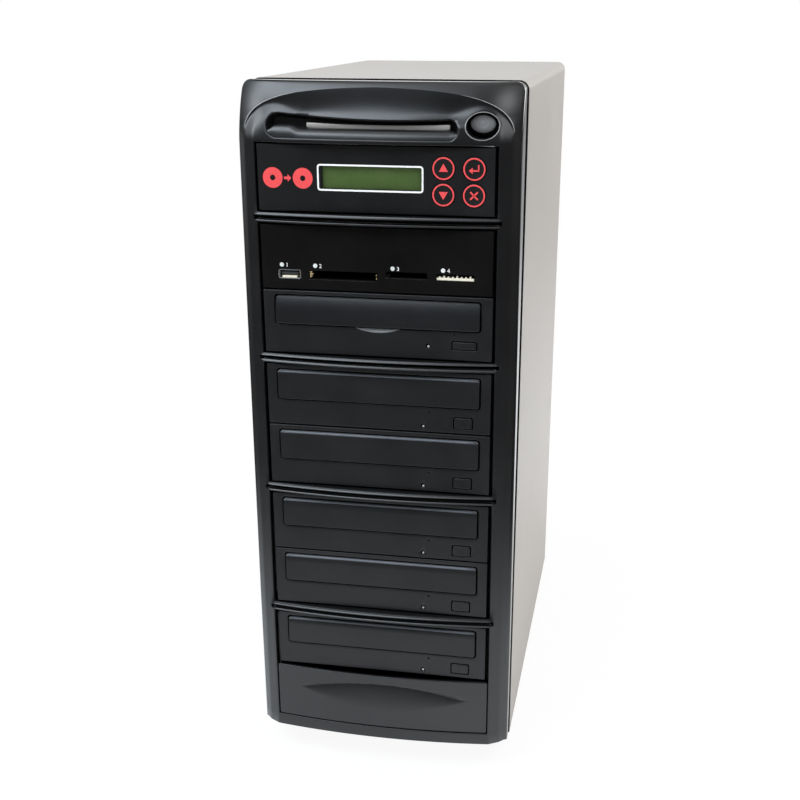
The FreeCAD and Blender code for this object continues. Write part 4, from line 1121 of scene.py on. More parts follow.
readerDoor = {"edge": 0.45, "corner": 1.5, "step": 4.0, "rowEdge": 2.2, "rowStep": 0.9, "bulge": 3.0,
              "endBulge": 0.3, "endPower": 8, "proud": 1.1, "flat": 0.35}
ejectLook = {"edge": 0.5, "corner": 0.7, "step": 1.2, "crown": 0.18, "signSize": 1.15, "signLift": 0.12,
             "signSink": 0.1, "signDrop": 0.45, "signBar": 0.3}
plateBoxes = islandBoxes("drive_bezels")[::-1]
lampBoxes = islandBoxes("drive_leds")[::-1]
doorNames = ["tray_door_" + str(index) for index in range(driveCount)]
ejectNames = ["eject_button_" + str(index) for index in range(driveCount)]


def notchFoot(x):
    share = 1 - ((x - notch["x"]) / notch["half"]) ** 2
    return notchTop - notch["height"] * max(0.0, share)


def notchAt(x, z):
    within = abs(x - notch["x"]) < notch["half"] and z < notchTop + 1
    return max(0.0, z - notchFoot(x)) * notch["lean"] if within else 0.0


def middleOf(box):
    return (box[0] + box[1]) / 2


notchTop = boxMm("tray_door_0")[0].z - driveFace["doorGap"]


def makeDrivePlate(index):
    low, high = plateBoxes[index]
    style = min(index, 1)
    lamp = middleOf(lampBoxes[index])
    pinX = driveFace["pinX"][style]
    pinZ = high.z - driveFace["pinDrop"][style]
    openings = [openingAround(doorNames[index], driveFace["doorGap"], driveFace["doorCorner"]),
                openingAround(ejectNames[index], driveFace["ejectGap"], driveFace["ejectCorner"]),
                roundOpening(lamp.x, lamp.z, driveFace["ledHole"]),
                roundOpening(pinX, pinZ, driveFace["pinHole"])]

    def surface(x, z):
        return low.y + (notchAt(x, z) if index == 0 else 0.0)

    bm = cutPlate(low, high, driveFace, openings, surface)
    replaced = ["drive_bezels"] if index == 0 else []
    finishPiece("drivePlate" + str(index), bm, "drive_plastic", replaced=replaced, sharp=50.0)


# Pale crescent below the reader's door: a notch in the plate, its pale grey a painted reflection of the light
# above
def makeNotch():
    reach = notch["half"] - notch["inset"]
    columns = spread([notch["x"] - reach, notch["x"] + reach], notch["step"])
    bm = reliefGrid(columns, spread([0.0, 1.0], notch["rowShare"]), lambda x, z: 0.0)
    face = plateBoxes[0][0].y
    for vert in bm.verts:
        foot = notchFoot(vert.co.x)
        z = foot + (notchTop - foot) * vert.co.z
        vert.co = (vert.co.x, face + notchAt(vert.co.x, z) - notch["lift"], z)
    piece = finishPiece("doorNotch", bm, "drive_plastic", material=greyAndHighlightPlastic)
    thicken(piece, notch["wall"])


# A pale strip on the bevel along the top of a writer's door: a painted highlight
def makeBevelHighlight(index, ridge, surface):
    low, high = boxMm(doorNames[index])
    columns = spread([low.x + bevelHighlightStrip["inset"], high.x - bevelHighlightStrip["inset"]], bevelHighlightStrip["step"])
    rows = [ridge + bevelHighlightStrip["foot"]] + [high.z - writerDoor["edge"] - drop for drop in bevelHighlightStrip["drops"]]
    highlightStrip = reliefGrid(columns, rows, lambda x, z: surface(x, z) - bevelHighlightStrip["lift"])
    body = "disc_tray_" + str(index)
    piece = finishPiece("doorBevelHighlight" + str(index), highlightStrip, "drive_plastic", body, material=bevelHighlightFinish)
    thicken(piece, bevelHighlightStrip["wall"])


def makeDoor(index):
    low, high = boxMm(doorNames[index])
    centre = middleOf((low, high))
    ridge = high.z - writerDoor["edge"] - writerDoor["bevel"]

    def writerSurface(x, z):
        return low.y - writerDoor["proud"] + max(0.0, z - ridge) * writerDoor["bevelLean"]

    def readerSurface(x, z):
        flat = readerDoor["flat"]
        upward = max(0.0, ((z - centre.z) / (high.z - centre.z) + flat) / (1 + flat))
        across = (x - centre.x) / (high.x - centre.x)
        bulge = readerDoor["bulge"] * upward ** 2 + readerDoor["endBulge"] * across ** readerDoor["endPower"]
        return low.y - readerDoor["proud"] + bulge

    if index:
        rows = [ridge + rise for rise in writerDoor["rises"]]
        bm = roundedPlate(low, high, writerDoor, writerSurface, rows)
    else:
        rows = spread([low.z + readerDoor["rowEdge"], high.z - readerDoor["rowEdge"]], readerDoor["rowStep"])
        bm = roundedPlate(low, high, readerDoor, readerSurface, rows)
    body = "disc_tray_" + str(index)
    material = None if index else masterGloss
    finishPiece("trayFront" + str(index), bm, "drive_plastic", body, [doorNames[index]], material, 50.0)
    if index:
        makeBevelHighlight(index, ridge, writerSurface)


def makeEject(index):
    low, high = boxMm(ejectNames[index])
    centre = middleOf((low, high))

    def surface(x, z):
        return low.y + ejectLook["crown"] * ((x - centre.x) / (high.x - centre.x)) ** 2

    bm = roundedPlate(low, high, ejectLook, surface)
    size = ejectLook["signSize"]
    foot = centre.z - size * ejectLook["signDrop"]
    barZ = foot - size * ejectLook["signDrop"]
    base = low.y + ejectLook["signSink"]
    height = ejectLook["signSink"] + ejectLook["signLift"]
    addSign(bm, [(centre.x - size, foot), (centre.x + size, foot), (centre.x, foot + size)], base, height)
    underline = barOutline((centre.x - size, barZ), (centre.x + size, barZ), size * ejectLook["signBar"])
    addSign(bm, underline, base, height)
    finishPiece("ejectCap" + str(index), bm, "drive_plastic", "ejector_" + str(index), [ejectNames[index]])


# Lens of a drive's lamp, set low in its dark hole
lampLook = {"radius": 0.8, "drop": 0.55, "sink": 0.9, "dome": 0.4,
            "curve": [(0.0, 0.0), (0.45, 0.12), (0.8, 0.5), (1.0, 1.0)]}


def makeDriveLamp(index):
    low, high = lampBoxes[index]
    centre = middleOf((low, high))
    radius = lampLook["radius"]
    front = low.y + lampLook["sink"]
    profile = [(radius * share, front + lampLook["dome"] * fall) for share, fall in lampLook["curve"]]
    profile += [(radius, high.y), (0.0, high.y)]
    bm = lathe(profile, centre.x, centre.z - lampLook["drop"], steps=20)
    replaced = ["drive_leds"] if index == 0 else []
    finishPiece("driveLamp" + str(index), bm, "led_plastic", replaced=replaced)


for index in range(driveCount):
    makeDrivePlate(index)
    makeDoor(index)
    makeEject(index)
    makeDriveLamp(index)
    softened("discTray" + str(index), "tray_" + str(index), "tray_plastic", "disc_tray_" + str(index), 0.4)
makeNotch()
print("drive fronts made:", driveCount)


# Controller: plate, display outline, pictogram and round keys with red marks
controller = {"edge": 0.4, "rim": 0.3, "corner": 0.4, "step": 5.0, "settle": 0.9, "keyGap": 0.25,
              "flange": 0.6, "displayCorner": 0.5, "displayShade": 1.5}
displayBorder = {"left": 4.0, "right": 4.2, "foot": 4.9, "head": 4.4}
outline = {"line": 1.05, "corner": 2.0, "lift": 0.06, "gap": 0.05}
keyLook = {"edge": 0.45, "dish": 0.25, "curve": [(0.0, 1.0), (0.45, 0.85), (0.72, 0.4)], "rimDrop": 0.02,
           "turns": [0.0, 0.4, 0.75, 1.0], "flangeBack": 3.0, "flangeThick": 1.0, "stem": 2.0,
           "ringWidth": 1.25, "signLift": 0.1}
keyRing = {"inner": [(0.0, 0.12), (0.08, -0.07), (0.3, -0.1)],  # distances from the ring's edges and front
           "outer": [(0.5, -0.1), (0.3, -0.05), (0.22, 0.3)]}
pictogram = {"left": -64.6, "right": -45.4, "radius": 6.3, "hub": 1.7, "middle": 415.3, "lift": 0.08,
             "arrow": 2.3, "shaft": 0.7}
keyNames = ["key_up", "key_down", "key_enter", "key_escape"]
displayLow, displayHigh = boxMm("display_module")
windowLow = displayLow + Vector((displayBorder["left"], 0, displayBorder["foot"]))
windowHigh = displayHigh - Vector((displayBorder["right"], 0, displayBorder["head"]))


def keyRadius(name):
    low, high = boxMm(name)
    return (high.x - low.x) / 2 - controller["flange"]


def makeControllerPlate():
    windowMiddle = middleOf((windowLow, windowHigh))
    shade = controller["displayShade"]
    openings = [opening(windowMiddle.x + shade / 2, windowMiddle.z, windowHigh.x - windowLow.x - shade,
                        windowHigh.z - windowLow.z, controller["displayCorner"])]
    for name in keyNames:
        centre = middleOf(boxMm(name))
        openings.append(roundOpening(centre.x, centre.z, keyRadius(name) + controller["keyGap"]))
    bm = cutPlate(plateLow, plateHigh, controller, openings, lambda x, z: plateLow.y)
    finishPiece("controllerPlate", bm, "plate_plastic", replaced=["controller_faceplate"], sharp=50.0)


def makeDisplayOutline():
    bm = bmesh.new()
    inner = outline["line"] + outline["gap"] + controller["rim"]
    low = windowLow - Vector((inner, 0, inner))
    high = windowHigh + Vector((inner, 0, inner))
    bmesh.ops.create_grid(bm, x_segments=1, y_segments=1, size=0.5)
    bmesh.ops.rotate(bm, cent=(0, 0, 0), matrix=upright, verts=bm.verts)
    bmesh.ops.scale(bm, vec=(high.x - low.x, 1, high.z - low.z), verts=bm.verts)
    centre = middleOf((low, high))
    bmesh.ops.translate(bm, vec=(centre.x, plateLow.y, centre.z), verts=bm.verts)
    bmesh.ops.bevel(bm, geom=bm.verts[:], offset=outline["corner"], offset_type="OFFSET", affect="VERTICES",
                    segments=6, profile=0.5, material=-1)
    whole = bm.faces[:]
    bmesh.ops.inset_region(bm, faces=whole, thickness=outline["line"], use_even_offset=True,
                           use_boundary=True)
    bmesh.ops.delete(bm, geom=whole, context="FACES")
    grown = bmesh.ops.extrude_face_region(bm, geom=bm.faces[:])
    bmesh.ops.translate(bm, vec=(0, -outline["lift"], 0), verts=vertsOf(grown))
    bmesh.ops.recalc_face_normals(bm, faces=bm.faces)
    finishPiece("displayOutline", bm, "plate_plastic", material=emissiveWhiteInk)


def discSign(x, z, base):
    radius = pictogram["radius"]
    top = base - pictogram["lift"]
    profile = [(pictogram["hub"], base), (pictogram["hub"], top), (radius, top), (radius, base)]
    return lathe(profile, x, z, steps=48)


def makePictogram():
    base = plateLow.y
    z = pictogram["middle"]
    size = pictogram["arrow"]
    x = (pictogram["left"] + pictogram["right"]) / 2
    bm = discSign(pictogram["left"], z, base)
    joinInto(bm, discSign(pictogram["right"], z, base))
    addSign(bm, [(x, z + size), (x, z - size), (x + size, z)], base, pictogram["lift"])
    addSign(bm, barOutline((x - size, z), (x, z), size * pictogram["shaft"]), base, pictogram["lift"])
    finishPiece("copyPictogram", bm, "plate_plastic", material=emissiveRedInk)


# Outlines of the red signs on the keys, about the middle of each key
def keySigns(name):
    if name == "key_up":
        return [[(-2.8, -1.9), (2.8, -1.9), (0.0, 2.9)]]
    if name == "key_down":
        return [[(-2.8, 1.9), (0.0, -2.9), (2.8, 1.9)]]
    if name == "key_enter":
        return [barOutline((2.6, 2.6), (2.6, -0.9), 0.9), barOutline((3.05, -0.9), (-1.2, -0.9), 0.9),
                [(-1.0, 1.0), (-3.4, -0.9), (-1.0, -2.8)]]
    return [barOutline((-2.3, -2.3), (2.3, 2.3), 1.0), barOutline((-2.3, 2.3), (2.3, -2.3), 1.0)]


def keyPiece(kind, name):
    return kind + name.title().replace("_", "")


def makeKeyCap(name):
    low, high = boxMm(name)
    centre = middleOf((low, high))
    radius = keyRadius(name)
    edge = keyLook["edge"]
    front = low.y
    profile = [(radius * share, front + keyLook["dish"] * depth) for share, depth in keyLook["curve"]]
    profile.append((radius - keyLook["ringWidth"], front + keyLook["rimDrop"]))
    for turn in keyLook["turns"]:
        angle = turn * math.pi / 2
        profile.append((radius - edge + edge * math.sin(angle), front + edge - edge * math.cos(angle)))
    flange = radius + controller["flange"]
    flangeFront = high.y - keyLook["flangeBack"]
    flangeEnd = flangeFront + keyLook["flangeThick"]
    stem = keyLook["stem"]
    stemEnd = min(high.y, boxMm("key_board")[0].y)
    profile += [(radius, flangeFront), (flange, flangeFront), (flange, flangeEnd), (stem, flangeEnd)]
    profile += [(stem, stemEnd), (0.0, stemEnd)]
    bm = lathe(profile, centre.x, centre.z, steps=56)
    finishPiece(keyPiece("cap", name), bm, "key_plastic", name + "_body", [name], sharp=50.0)


# Red ring around a key's dish, and the sign in it
def makeKeySign(name):
    low, high = boxMm(name)
    centre = middleOf((low, high))
    radius = keyRadius(name)
    front = low.y
    inner = radius - keyLook["ringWidth"]
    profile = [(inner + inset, front + depth) for inset, depth in keyRing["inner"]]
    profile += [(radius - inset, front + depth) for inset, depth in keyRing["outer"]]
    ring = lathe(profile, centre.x, centre.z, steps=56)
    for sign in keySigns(name):
        points = [(centre.x + x, centre.z + z) for x, z in sign]
        addSign(ring, points, front + keyLook["dish"], keyLook["dish"] + keyLook["signLift"])
    finishPiece(keyPiece("sign", name), ring, "key_plastic", name + "_body", material=emissiveRedInk)


makeControllerPlate()
makeDisplayOutline()
makePictogram()
for name in keyNames:
    makeKeyCap(name)
    makeKeySign(name)
print("controller made")


# Card reader: plate, sockets, contacts, lamps and the plain numbers beside them
readerLook = {"edge": 0.4, "rim": 0.2, "corner": 0.4, "step": 5.0, "settle": 0.7, "ledHole": 1.0}
mouths = {"port": (-63.8, 15.1, 6.2, 6.4, 1.1), "compact": (-43.4, 44.1, 6.8, 5.4, 0.4),
          "secure": (6.5, 26.0, 9.4, 3.8, 0.4), "stick": (38.5, 23.8, 9.0, 3.9, 0.4)}
portLook = {"edge": 0.35, "rim": 0.25, "corner": 1.1, "step": 3.0, "settle": 0.4, "wall": 0.75, "gap": 0.05,
            "sink": 0.4, "bore": 0.6}
portCheek = {"size": (0.6, 2.0, 3.4), "inset": 0.15, "proud": 0.2, "edge": 0.15}
portReflectionSill = {"size": (9.8, 3.0, 1.5), "lift": 0.75, "sink": 0.2, "edge": 0.15}
tongue = {"edge": 0.25, "corner": 0.3, "step": 2.0, "width": 11.4, "height": 1.9, "lift": 0.55, "sink": 1.2,
          "short": 0.5}
pinLook = {"sink": 0.8, "length": 3.0, "edge": 0.12}
leftPins = {"count": 3, "inset": 0.3, "rise": 1.1, "pitch": 1.4, "width": 1.9, "taper": 0.5, "height": 0.9}
rightPins = {"count": 2, "inset": 1.0, "rise": 1.0, "pitch": 2.2, "width": 0.7, "taper": 0.0, "height": 0.8}
comb = {"inset": 0.1, "sink": 0.35, "back": 3.0, "height": 1.7, "edge": 0.15}
tooth = {"count": 8, "start": (1.3, 0.5, 1.2), "pitch": 2.75, "size": (1.2, 2.0, 1.3), "extra": 0.5}
mouthEdgeHighlight = {"reach": 0.2, "proud": 0.08, "drop": 0.3, "back": 2.0, "height": 0.4, "edge": 0.08}
guide = {"count": 2, "inset": 0.4, "sink": 1.0, "rise": 0.9, "pitch": 1.3, "width": 2.4, "taper": 1.0,
         "length": 3.0, "height": 0.5, "edge": 0.1}
readerLamp = {"radius": 1.4, "lift": 0.3, "seat": 0.02, "neckGap": 0.1,
              "curve": [(0.0, 0.05), (0.3, 0.0), (0.7, 0.03), (0.92, 0.12)]}
numbers = {"size": 3.6, "shift": 2.5, "drop": 1.25, "lift": 0.08}


def mouthBox(name):
    left, width, rise, height, corner = mouths[name]
    return opening(left + width / 2, readerLow.z + rise + height / 2, width, height, corner)


def makeReaderPlate():
    openings = [mouthBox(name) for name in mouths]
    for box in islandBoxes("reader_leds"):
        centre = middleOf(box)
        openings.append(roundOpening(centre.x, centre.z, readerLook["ledHole"]))
    bm = cutPlate(readerLow, readerHigh, readerLook, openings, lambda x, z: readerLow.y)
    replaced = ["card_reader_faceplate"]
    finishPiece("readerPlate", bm, "plate_plastic", replaced=replaced, material=readerPlastic, sharp=50.0)


def plainBlock(low, high, edge):
    look = {"edge": edge, "corner": edge, "step": 4.0}
    return roundedPlate(low, high, look, lambda x, z: low.y)


def addBlock(bm, low, size, edge):
    joinInto(bm, plainBlock(low, low + Vector(size), edge))


def portBox():
    mouth = mouthBox("port")
    shellLow, shellHigh = boxMm("usb_socket")
    gap = Vector((portLook["gap"], 0, portLook["gap"]))
    low = mouth["low"] + gap
    high = mouth["high"] - gap
    low.y = shellLow.y + portLook["sink"]
    high.y = shellHigh.y
    return low, high


def makePortShell():
    low, high = portBox()
    centre = middleOf((low, high))
    walls = 2 * portLook["wall"]
    bore = opening(centre.x, centre.z, high.x - low.x - walls, high.z - low.z - walls, portLook["bore"])
    bm = cutPlate(low, high, portLook, [bore], lambda x, z: low.y)
    finishPiece("portShell", bm, "socket_steel", replaced=["usb_socket"], material=greyAndHighlightPlastic, sharp=50.0)


def makePortContacts():
    low, high = portBox()
    centre = middleOf((low, high))
    cheeks = bmesh.new()
    width, depth, height = portCheek["size"]
    for x in (low.x + portCheek["inset"], high.x - portCheek["inset"] - width):
        cheekLow = Vector((x, low.y - portCheek["proud"], centre.z - height / 2))
        addBlock(cheeks, cheekLow, portCheek["size"], portCheek["edge"])
    finishPiece("portCheeks", cheeks, "socket_steel", material=goldContact)
    # The cream block low in the bore is a painted reflection of the white that the shell's lower inside shows
    sill = bmesh.new()
    sillLeft = centre.x - portReflectionSill["size"][0] / 2
    sillLow = Vector((sillLeft, low.y + portReflectionSill["sink"], low.z + portReflectionSill["lift"]))
    addBlock(sill, sillLow, portReflectionSill["size"], portReflectionSill["edge"])
    finishPiece("portReflectionSill", sill, "socket_steel", material=creamAndReflectionPlastic)


def makePortTongue():
    low, high = portBox()
    centre = middleOf((low, high))
    half = Vector((tongue["width"] / 2, 0, tongue["height"] / 2))
    middle = Vector((centre.x, 0, centre.z + tongue["lift"]))
    blockLow = middle - half
    blockHigh = middle + half
    blockLow.y = low.y + tongue["sink"]
    blockHigh.y = high.y - tongue["short"]
    slab = roundedPlate(blockLow, blockHigh, tongue, lambda x, z: blockLow.y)
    finishPiece("portTongue", slab, "socket_steel", material=greyTongue)


# Gold pins at both ends of the widest card mouth
def makeCompactPins():
    mouth = mouthBox("compact")
    pins = bmesh.new()
    leftX = mouth["low"].x + leftPins["inset"]
    rightX = mouth["high"].x - rightPins["inset"]
    for row, x in ((leftPins, leftX), (rightPins, rightX)):
        for index in range(row["count"]):
            z = mouth["low"].z + row["rise"] + row["pitch"] * index
            size = (row["width"] - row["taper"] * abs(index - 1), pinLook["length"], row["height"])
            addBlock(pins, Vector((x, readerLow.y + pinLook["sink"], z)), size, pinLook["edge"])
    finishPiece("compactPins", pins, "socket_steel", material=goldContact)


# Cream comb in the right mouth: every third tooth is taller
def makeStickComb():
    mouth = mouthBox("stick")
    inset = comb["inset"]
    low = Vector((mouth["low"].x + inset, readerLow.y + comb["sink"], mouth["low"].z + inset))
    high = Vector((mouth["high"].x - inset, readerLow.y + comb["back"], low.z + comb["height"]))
    bm = plainBlock(low, high, comb["edge"])
    width, depth, height = tooth["size"]
    for index in range(tooth["count"]):
        toothLow = low + Vector(tooth["start"]) + Vector((tooth["pitch"] * index, 0, 0))
        taller = tooth["extra"] if index % 3 == 1 else 0.0
        addBlock(bm, toothLow, (width, depth, height + taller), comb["edge"])
    finishPiece("stickComb", bm, "socket_steel", material=creamAndReflectionPlastic)


# Thin pale strips along the lower edges of the two long mouths, painted highlights on those edges, and the
# guides in one of them
def makeSecureGuides():
    bm = bmesh.new()
    face = readerLow.y
    for mouth in (mouthBox("compact"), mouthBox("secure")):
        reach = mouthEdgeHighlight["reach"]
        low = Vector((mouth["low"].x - reach, face - mouthEdgeHighlight["proud"], mouth["low"].z - mouthEdgeHighlight["drop"]))
        high = Vector((mouth["high"].x + reach, face + mouthEdgeHighlight["back"], low.z + mouthEdgeHighlight["height"]))
        joinInto(bm, plainBlock(low, high, mouthEdgeHighlight["edge"]))
    corner = mouthBox("secure")["low"]
    for index in range(guide["count"]):
        z = corner.z + guide["rise"] + guide["pitch"] * index
        size = (guide["width"] - guide["taper"] * index, guide["length"], guide["height"])
        addBlock(bm, Vector((corner.x + guide["inset"], face + guide["sink"], z)), size, guide["edge"])
    finishPiece("secureGuides", bm, "socket_steel", material=greyAndHighlightPlastic)


def makeReaderLamp(index, box):
    centre = middleOf(box)
    front = readerLow.y - readerLamp["lift"]
    seat = readerLow.y - readerLamp["seat"]
    radius = readerLamp["radius"]
    neck = readerLook["ledHole"] - readerLamp["neckGap"]
    profile = [(radius * share, front + fall) for share, fall in readerLamp["curve"]]
    profile += [(radius, seat), (neck, seat), (neck, box[1].y), (0.0, box[1].y)]
    bm = lathe(profile, centre.x, centre.z, steps=28)
    replaced = ["reader_leds"] if index == 0 else []
    finishPiece("readerLamp" + str(index), bm, "led_plastic", replaced=replaced)


def makeNumber(index, box):
    data = bpy.data.curves.new("number", "FONT")
    data.body = str(index + 1)
    data.size = numbers["size"]
    data.extrude = numbers["lift"] / 2
    data.resolution_u = 4
    holder = bpy.data.objects.new("number", data)
    bpy.context.scene.collection.objects.link(holder)
    bpy.context.view_layer.update()
    mesh = bpy.data.meshes.new_from_object(holder)
    bpy.data.objects.remove(holder)
    bm = bmesh.new()
    bm.from_mesh(mesh)
    bpy.data.meshes.remove(mesh)
    bmesh.ops.remove_doubles(bm, verts=bm.verts, dist=fineMerge)
    bmesh.ops.rotate(bm, cent=(0, 0, 0), matrix=upright, verts=bm.verts)
    centre = middleOf(box)
    place = (centre.x + numbers["shift"], readerLow.y - numbers["lift"] / 2, centre.z - numbers["drop"])
    bmesh.ops.translate(bm, vec=place, verts=bm.verts)
    finishPiece("number" + str(index + 1), bm, "plate_plastic", material=emissiveWhiteInk)


makeReaderPlate()
makePortShell()
makePortContacts()
makePortTongue()
makeCompactPins()
makeStickComb()
makeSecureGuides()
for index, box in enumerate(sorted(islandBoxes("reader_leds"), key=lambda pair: pair[0].x)):
    makeReaderLamp(index, box)
    makeNumber(index, box)
print("card reader made")


# Rear and underside: screws with crossed recesses, wire guards, turned feet, broken edges on mouldings
crossScrew = {"head": 3.0, "shank": 1.7, "flange": 0.6, "dome": 0.75, "armInner": 0.5, "armOuter": 2.1,
              "armTurn": 16.0, "armDepth": 1.3, "innerDrop": 0.01, "outerDrop": 0.16,
              "curve": [(0.72, 0.34), (0.88, 0.62), (0.97, 1.0)]}
guardLook = {"ringPitch": 9.0, "wire": 1.0, "sides": 10, "tip": 0.4, "spokes": 4}
footLook = {"taper": 0.9, "edge": 0.8, "chamfer": 0.3, "collar": 1.2, "well": 4.0, "wellEdge": 0.4,
            "wellDepth": 2.2, "edgeShare": 0.3}


def makePanelScrew(bm, box):
    low, high = box
    centre = middleOf(box)
    radius = (high.x - low.x) / 2
    top = high.y
    base = top - crossScrew["head"]
    dome = crossScrew["dome"]
    inner = crossScrew["armInner"]
    outer = crossScrew["armOuter"]
    shank = crossScrew["shank"]
    curve = [(0.0, 0.0), (inner / radius, crossScrew["innerDrop"]), (outer / radius, crossScrew["outerDrop"])]
    profile = [(radius * share, top - dome * drop) for share, drop in curve + crossScrew["curve"]]
    profile += [(radius, base + crossScrew["flange"]), (radius, base)]
    profile += [(shank, base), (shank, low.y), (0.0, low.y)]
    head = lathe(profile, 0.0, 0.0, steps=24)
    arms = []
    for face in head.faces:
        middle = face.calc_center_median()
        out = math.hypot(middle.x, middle.z)
        turn = math.degrees(math.atan2(middle.z, middle.x)) % 90
        inArm = out < inner or min(turn, 90 - turn) < crossScrew["armTurn"]
        if middle.y > top - dome and out < outer and inArm:
            arms.append(face)
    grown = bmesh.ops.extrude_face_region(head, geom=arms)
    bmesh.ops.translate(head, vec=(0, -crossScrew["armDepth"], 0), verts=vertsOf(grown))
    bmesh.ops.delete(head, geom=[face for face in arms if face.is_valid], context="FACES_ONLY")
    bmesh.ops.recalc_face_normals(head, faces=head.faces)
    bmesh.ops.translate(head, vec=(centre.x, 0, centre.z), verts=head.verts)
    joinInto(bm, head)


def makePanelScrews():
    bm = bmesh.new()
    for box in islandBoxes("panel_screws"):
        makePanelScrew(bm, box)
    finishPiece("crossScrews", bm, "screw_steel", replaced=["panel_screws"])


def wireBar(start, end, y):
    bm = bmesh.new()
    along = Vector((end[0] - start[0], 0, end[1] - start[1]))
    wire = guardLook["wire"]
    bmesh.ops.create_cone(bm, cap_ends=True, segments=guardLook["sides"], radius1=wire, radius2=wire,
                          depth=along.length)
    rims = [link for link in bm.edges if len(link.link_faces) == 2 and link.calc_face_angle() > 1.2]
    bmesh.ops.bevel(bm, geom=rims, offset=guardLook["tip"], offset_type="OFFSET", affect="EDGES", segments=2,
                    profile=0.5, material=-1)
    bmesh.ops.rotate(bm, cent=(0, 0, 0), matrix=along.to_track_quat("Z", "Y").to_matrix(), verts=bm.verts)
    bmesh.ops.translate(bm, vec=((start[0] + end[0]) / 2, y, (start[1] + end[1]) / 2), verts=bm.verts)
    return bm


def makeGuards():
    bm = bmesh.new()
    for low, high in islandBoxes("fan_guards"):
        centre = middleOf((low, high))
        outer = (high.x - low.x) / 2 - guardLook["wire"]
        radius = outer
        while radius > guardLook["ringPitch"] * 0.5:
            profile = wireProfile(radius, centre.y, guardLook["wire"], guardLook["sides"])
            joinInto(bm, lathe(profile, centre.x, centre.z, steps=48))
            radius -= guardLook["ringPitch"]
        for index in range(guardLook["spokes"]):
            turn = math.pi / 4 + math.pi / 2 * index
            aim = Vector((math.cos(turn), math.sin(turn)))
            start = Vector((centre.x, centre.z)) + aim * (radius + guardLook["ringPitch"])
            end = Vector((centre.x, centre.z)) + aim * outer
            joinInto(bm, wireBar(tuple(start), tuple(end), centre.y))
    finishPiece("wireGuards", bm, "guard_chrome", replaced=["fan_guards"])


def makeFeet():
    bm = bmesh.new()
    for low, high in islandBoxes("rubber_feet"):
        centre = middleOf((low, high))
        radius = (high.x - low.x) / 2
        foot = radius * footLook["taper"]
        edge = footLook["edge"]
        chamfer = footLook["chamfer"]
        well = footLook["well"]
        wellTop = low.z + footLook["wellDepth"]
        profile = [(0.0, high.z), (radius - chamfer, high.z), (radius, high.z - chamfer)]
        profile += [(radius, high.z - footLook["collar"]), (foot, low.z + edge)]
        turn = edge * footLook["edgeShare"]
        profile += [(foot - turn, low.z + turn), (foot - edge, low.z)]
        profile += [(well + footLook["wellEdge"], low.z), (well, low.z + footLook["wellEdge"])]
        profile += [(well, wellTop), (0.0, wellTop)]
        turned = lathe(profile, 0.0, 0.0, steps=40)
        bmesh.ops.rotate(turned, cent=(0, 0, 0), matrix=upright, verts=turned.verts)
        bmesh.ops.translate(turned, vec=(centre.x, centre.y, 0), verts=turned.verts)
        bmesh.ops.recalc_face_normals(turned, faces=turned.faces)
        joinInto(bm, turned)
    finishPiece("turnedFeet", bm, "foot_rubber", replaced=["rubber_feet"])


makePanelScrews()
makeGuards()
makeFeet()
brokenEdges = [("inletBody", "power_inlet", "inlet_plastic", "chassis", 0.4),
               ("rockerFrame", "rocker_frame", "inlet_plastic", "chassis", 0.4),
               ("rockerCap", "power_rocker", "inlet_plastic", "power_rocker_body", 0.4),
               ("supplyBox", "supply_case", "panel_steel", "chassis", 0.3),
               ("fanFrames", "fan_frames", "fan_plastic", "chassis", 0.5),
               ("supplyRotor", "supply_fan_rotor", "fan_plastic", "supply_fan_rotor_body", 0.3),
               ("caseRotor", "case_fan_rotor", "fan_plastic", "case_fan_rotor_body", 0.3)]
for name, node, slotName, body, radius in brokenEdges:
    softened(name, node, slotName, body, radius)
print("rear pieces made")


# Camera at the photograph's angle
view = {"place": (0.1619, -0.89435, 0.5094), "azimuth": 10.19, "elevation": 20.90, "roll": 0.11,
        "lens": 53.31, "sensor": 36.0, "shiftX": -0.0332, "shiftY": 0.0842, "clipEnd": 200.0}


def makeCamera():
    data = bpy.data.cameras.new("studioCamera")
    data.lens = view["lens"]
    data.sensor_width = view["sensor"]
    data.shift_x = view["shiftX"]
    data.shift_y = view["shiftY"]
    data.clip_end = view["clipEnd"]
    camera = bpy.data.objects.new("studioCamera", data)
    turn = Matrix.Rotation(math.radians(view["azimuth"]), 4, "Z")
    tilt = Matrix.Rotation(math.radians(90 - view["elevation"]), 4, "X")
    roll = Matrix.Rotation(math.radians(view["roll"]), 4, "Z")
    camera.matrix_world = Matrix.Translation(view["place"]) @ turn @ tilt @ roll
    bpy.context.scene.collection.objects.link(camera)
    bpy.context.scene.camera = camera


# White studio: white to the camera, while what mirrors it meets a dim room in front;
# soft light comes from above and from the sides
studio = {"ambient": 0.33, "floorSize": 160.0, "floorColour": 0.97, "floorRough": 0.9, "floorLift": 0.93,
          "farFloor": 0.08, "floorFade": (-0.62, -0.32), "leftFade": (-0.6, -0.24), "rightFade": (0.55, 0.25),
          "backFade": (0.6, 1.4), "roomLevel": 0.05, "ceiling": (0.3, 0.75), "overhead": (0.8, 0.96),
          "behind": (0.3, 0.8), "aim": (0, -0.15, 0.4), "sunStrength": 0.5, "sunAngle": 75.0,
          "sunPlace": (-0.2, -0.25, 2.0)}
softboxes = {"keyLight": ((-0.8, -0.86, 1.7), (1.8, 0.7), 31.0, (0.82, 0.91, 1.0)),
             "sideLight": ((1.15, 0.85, 0.9), (0.8, 0.8), 16.5, (1.0, 1.0, 1.0)),
             "leftLight": ((-1.35, -0.58, 1.15), (0.35, 0.4), 6.0, (0.9, 0.95, 1.0)),
             "rightLight": ((0.98, -0.84, 1.45), (0.5, 0.5), 5.0, (0.97, 0.98, 1.0))}


def lightRay(tree, kind):
    return Flow(tree).add("LightPath", {}, {}, kind)


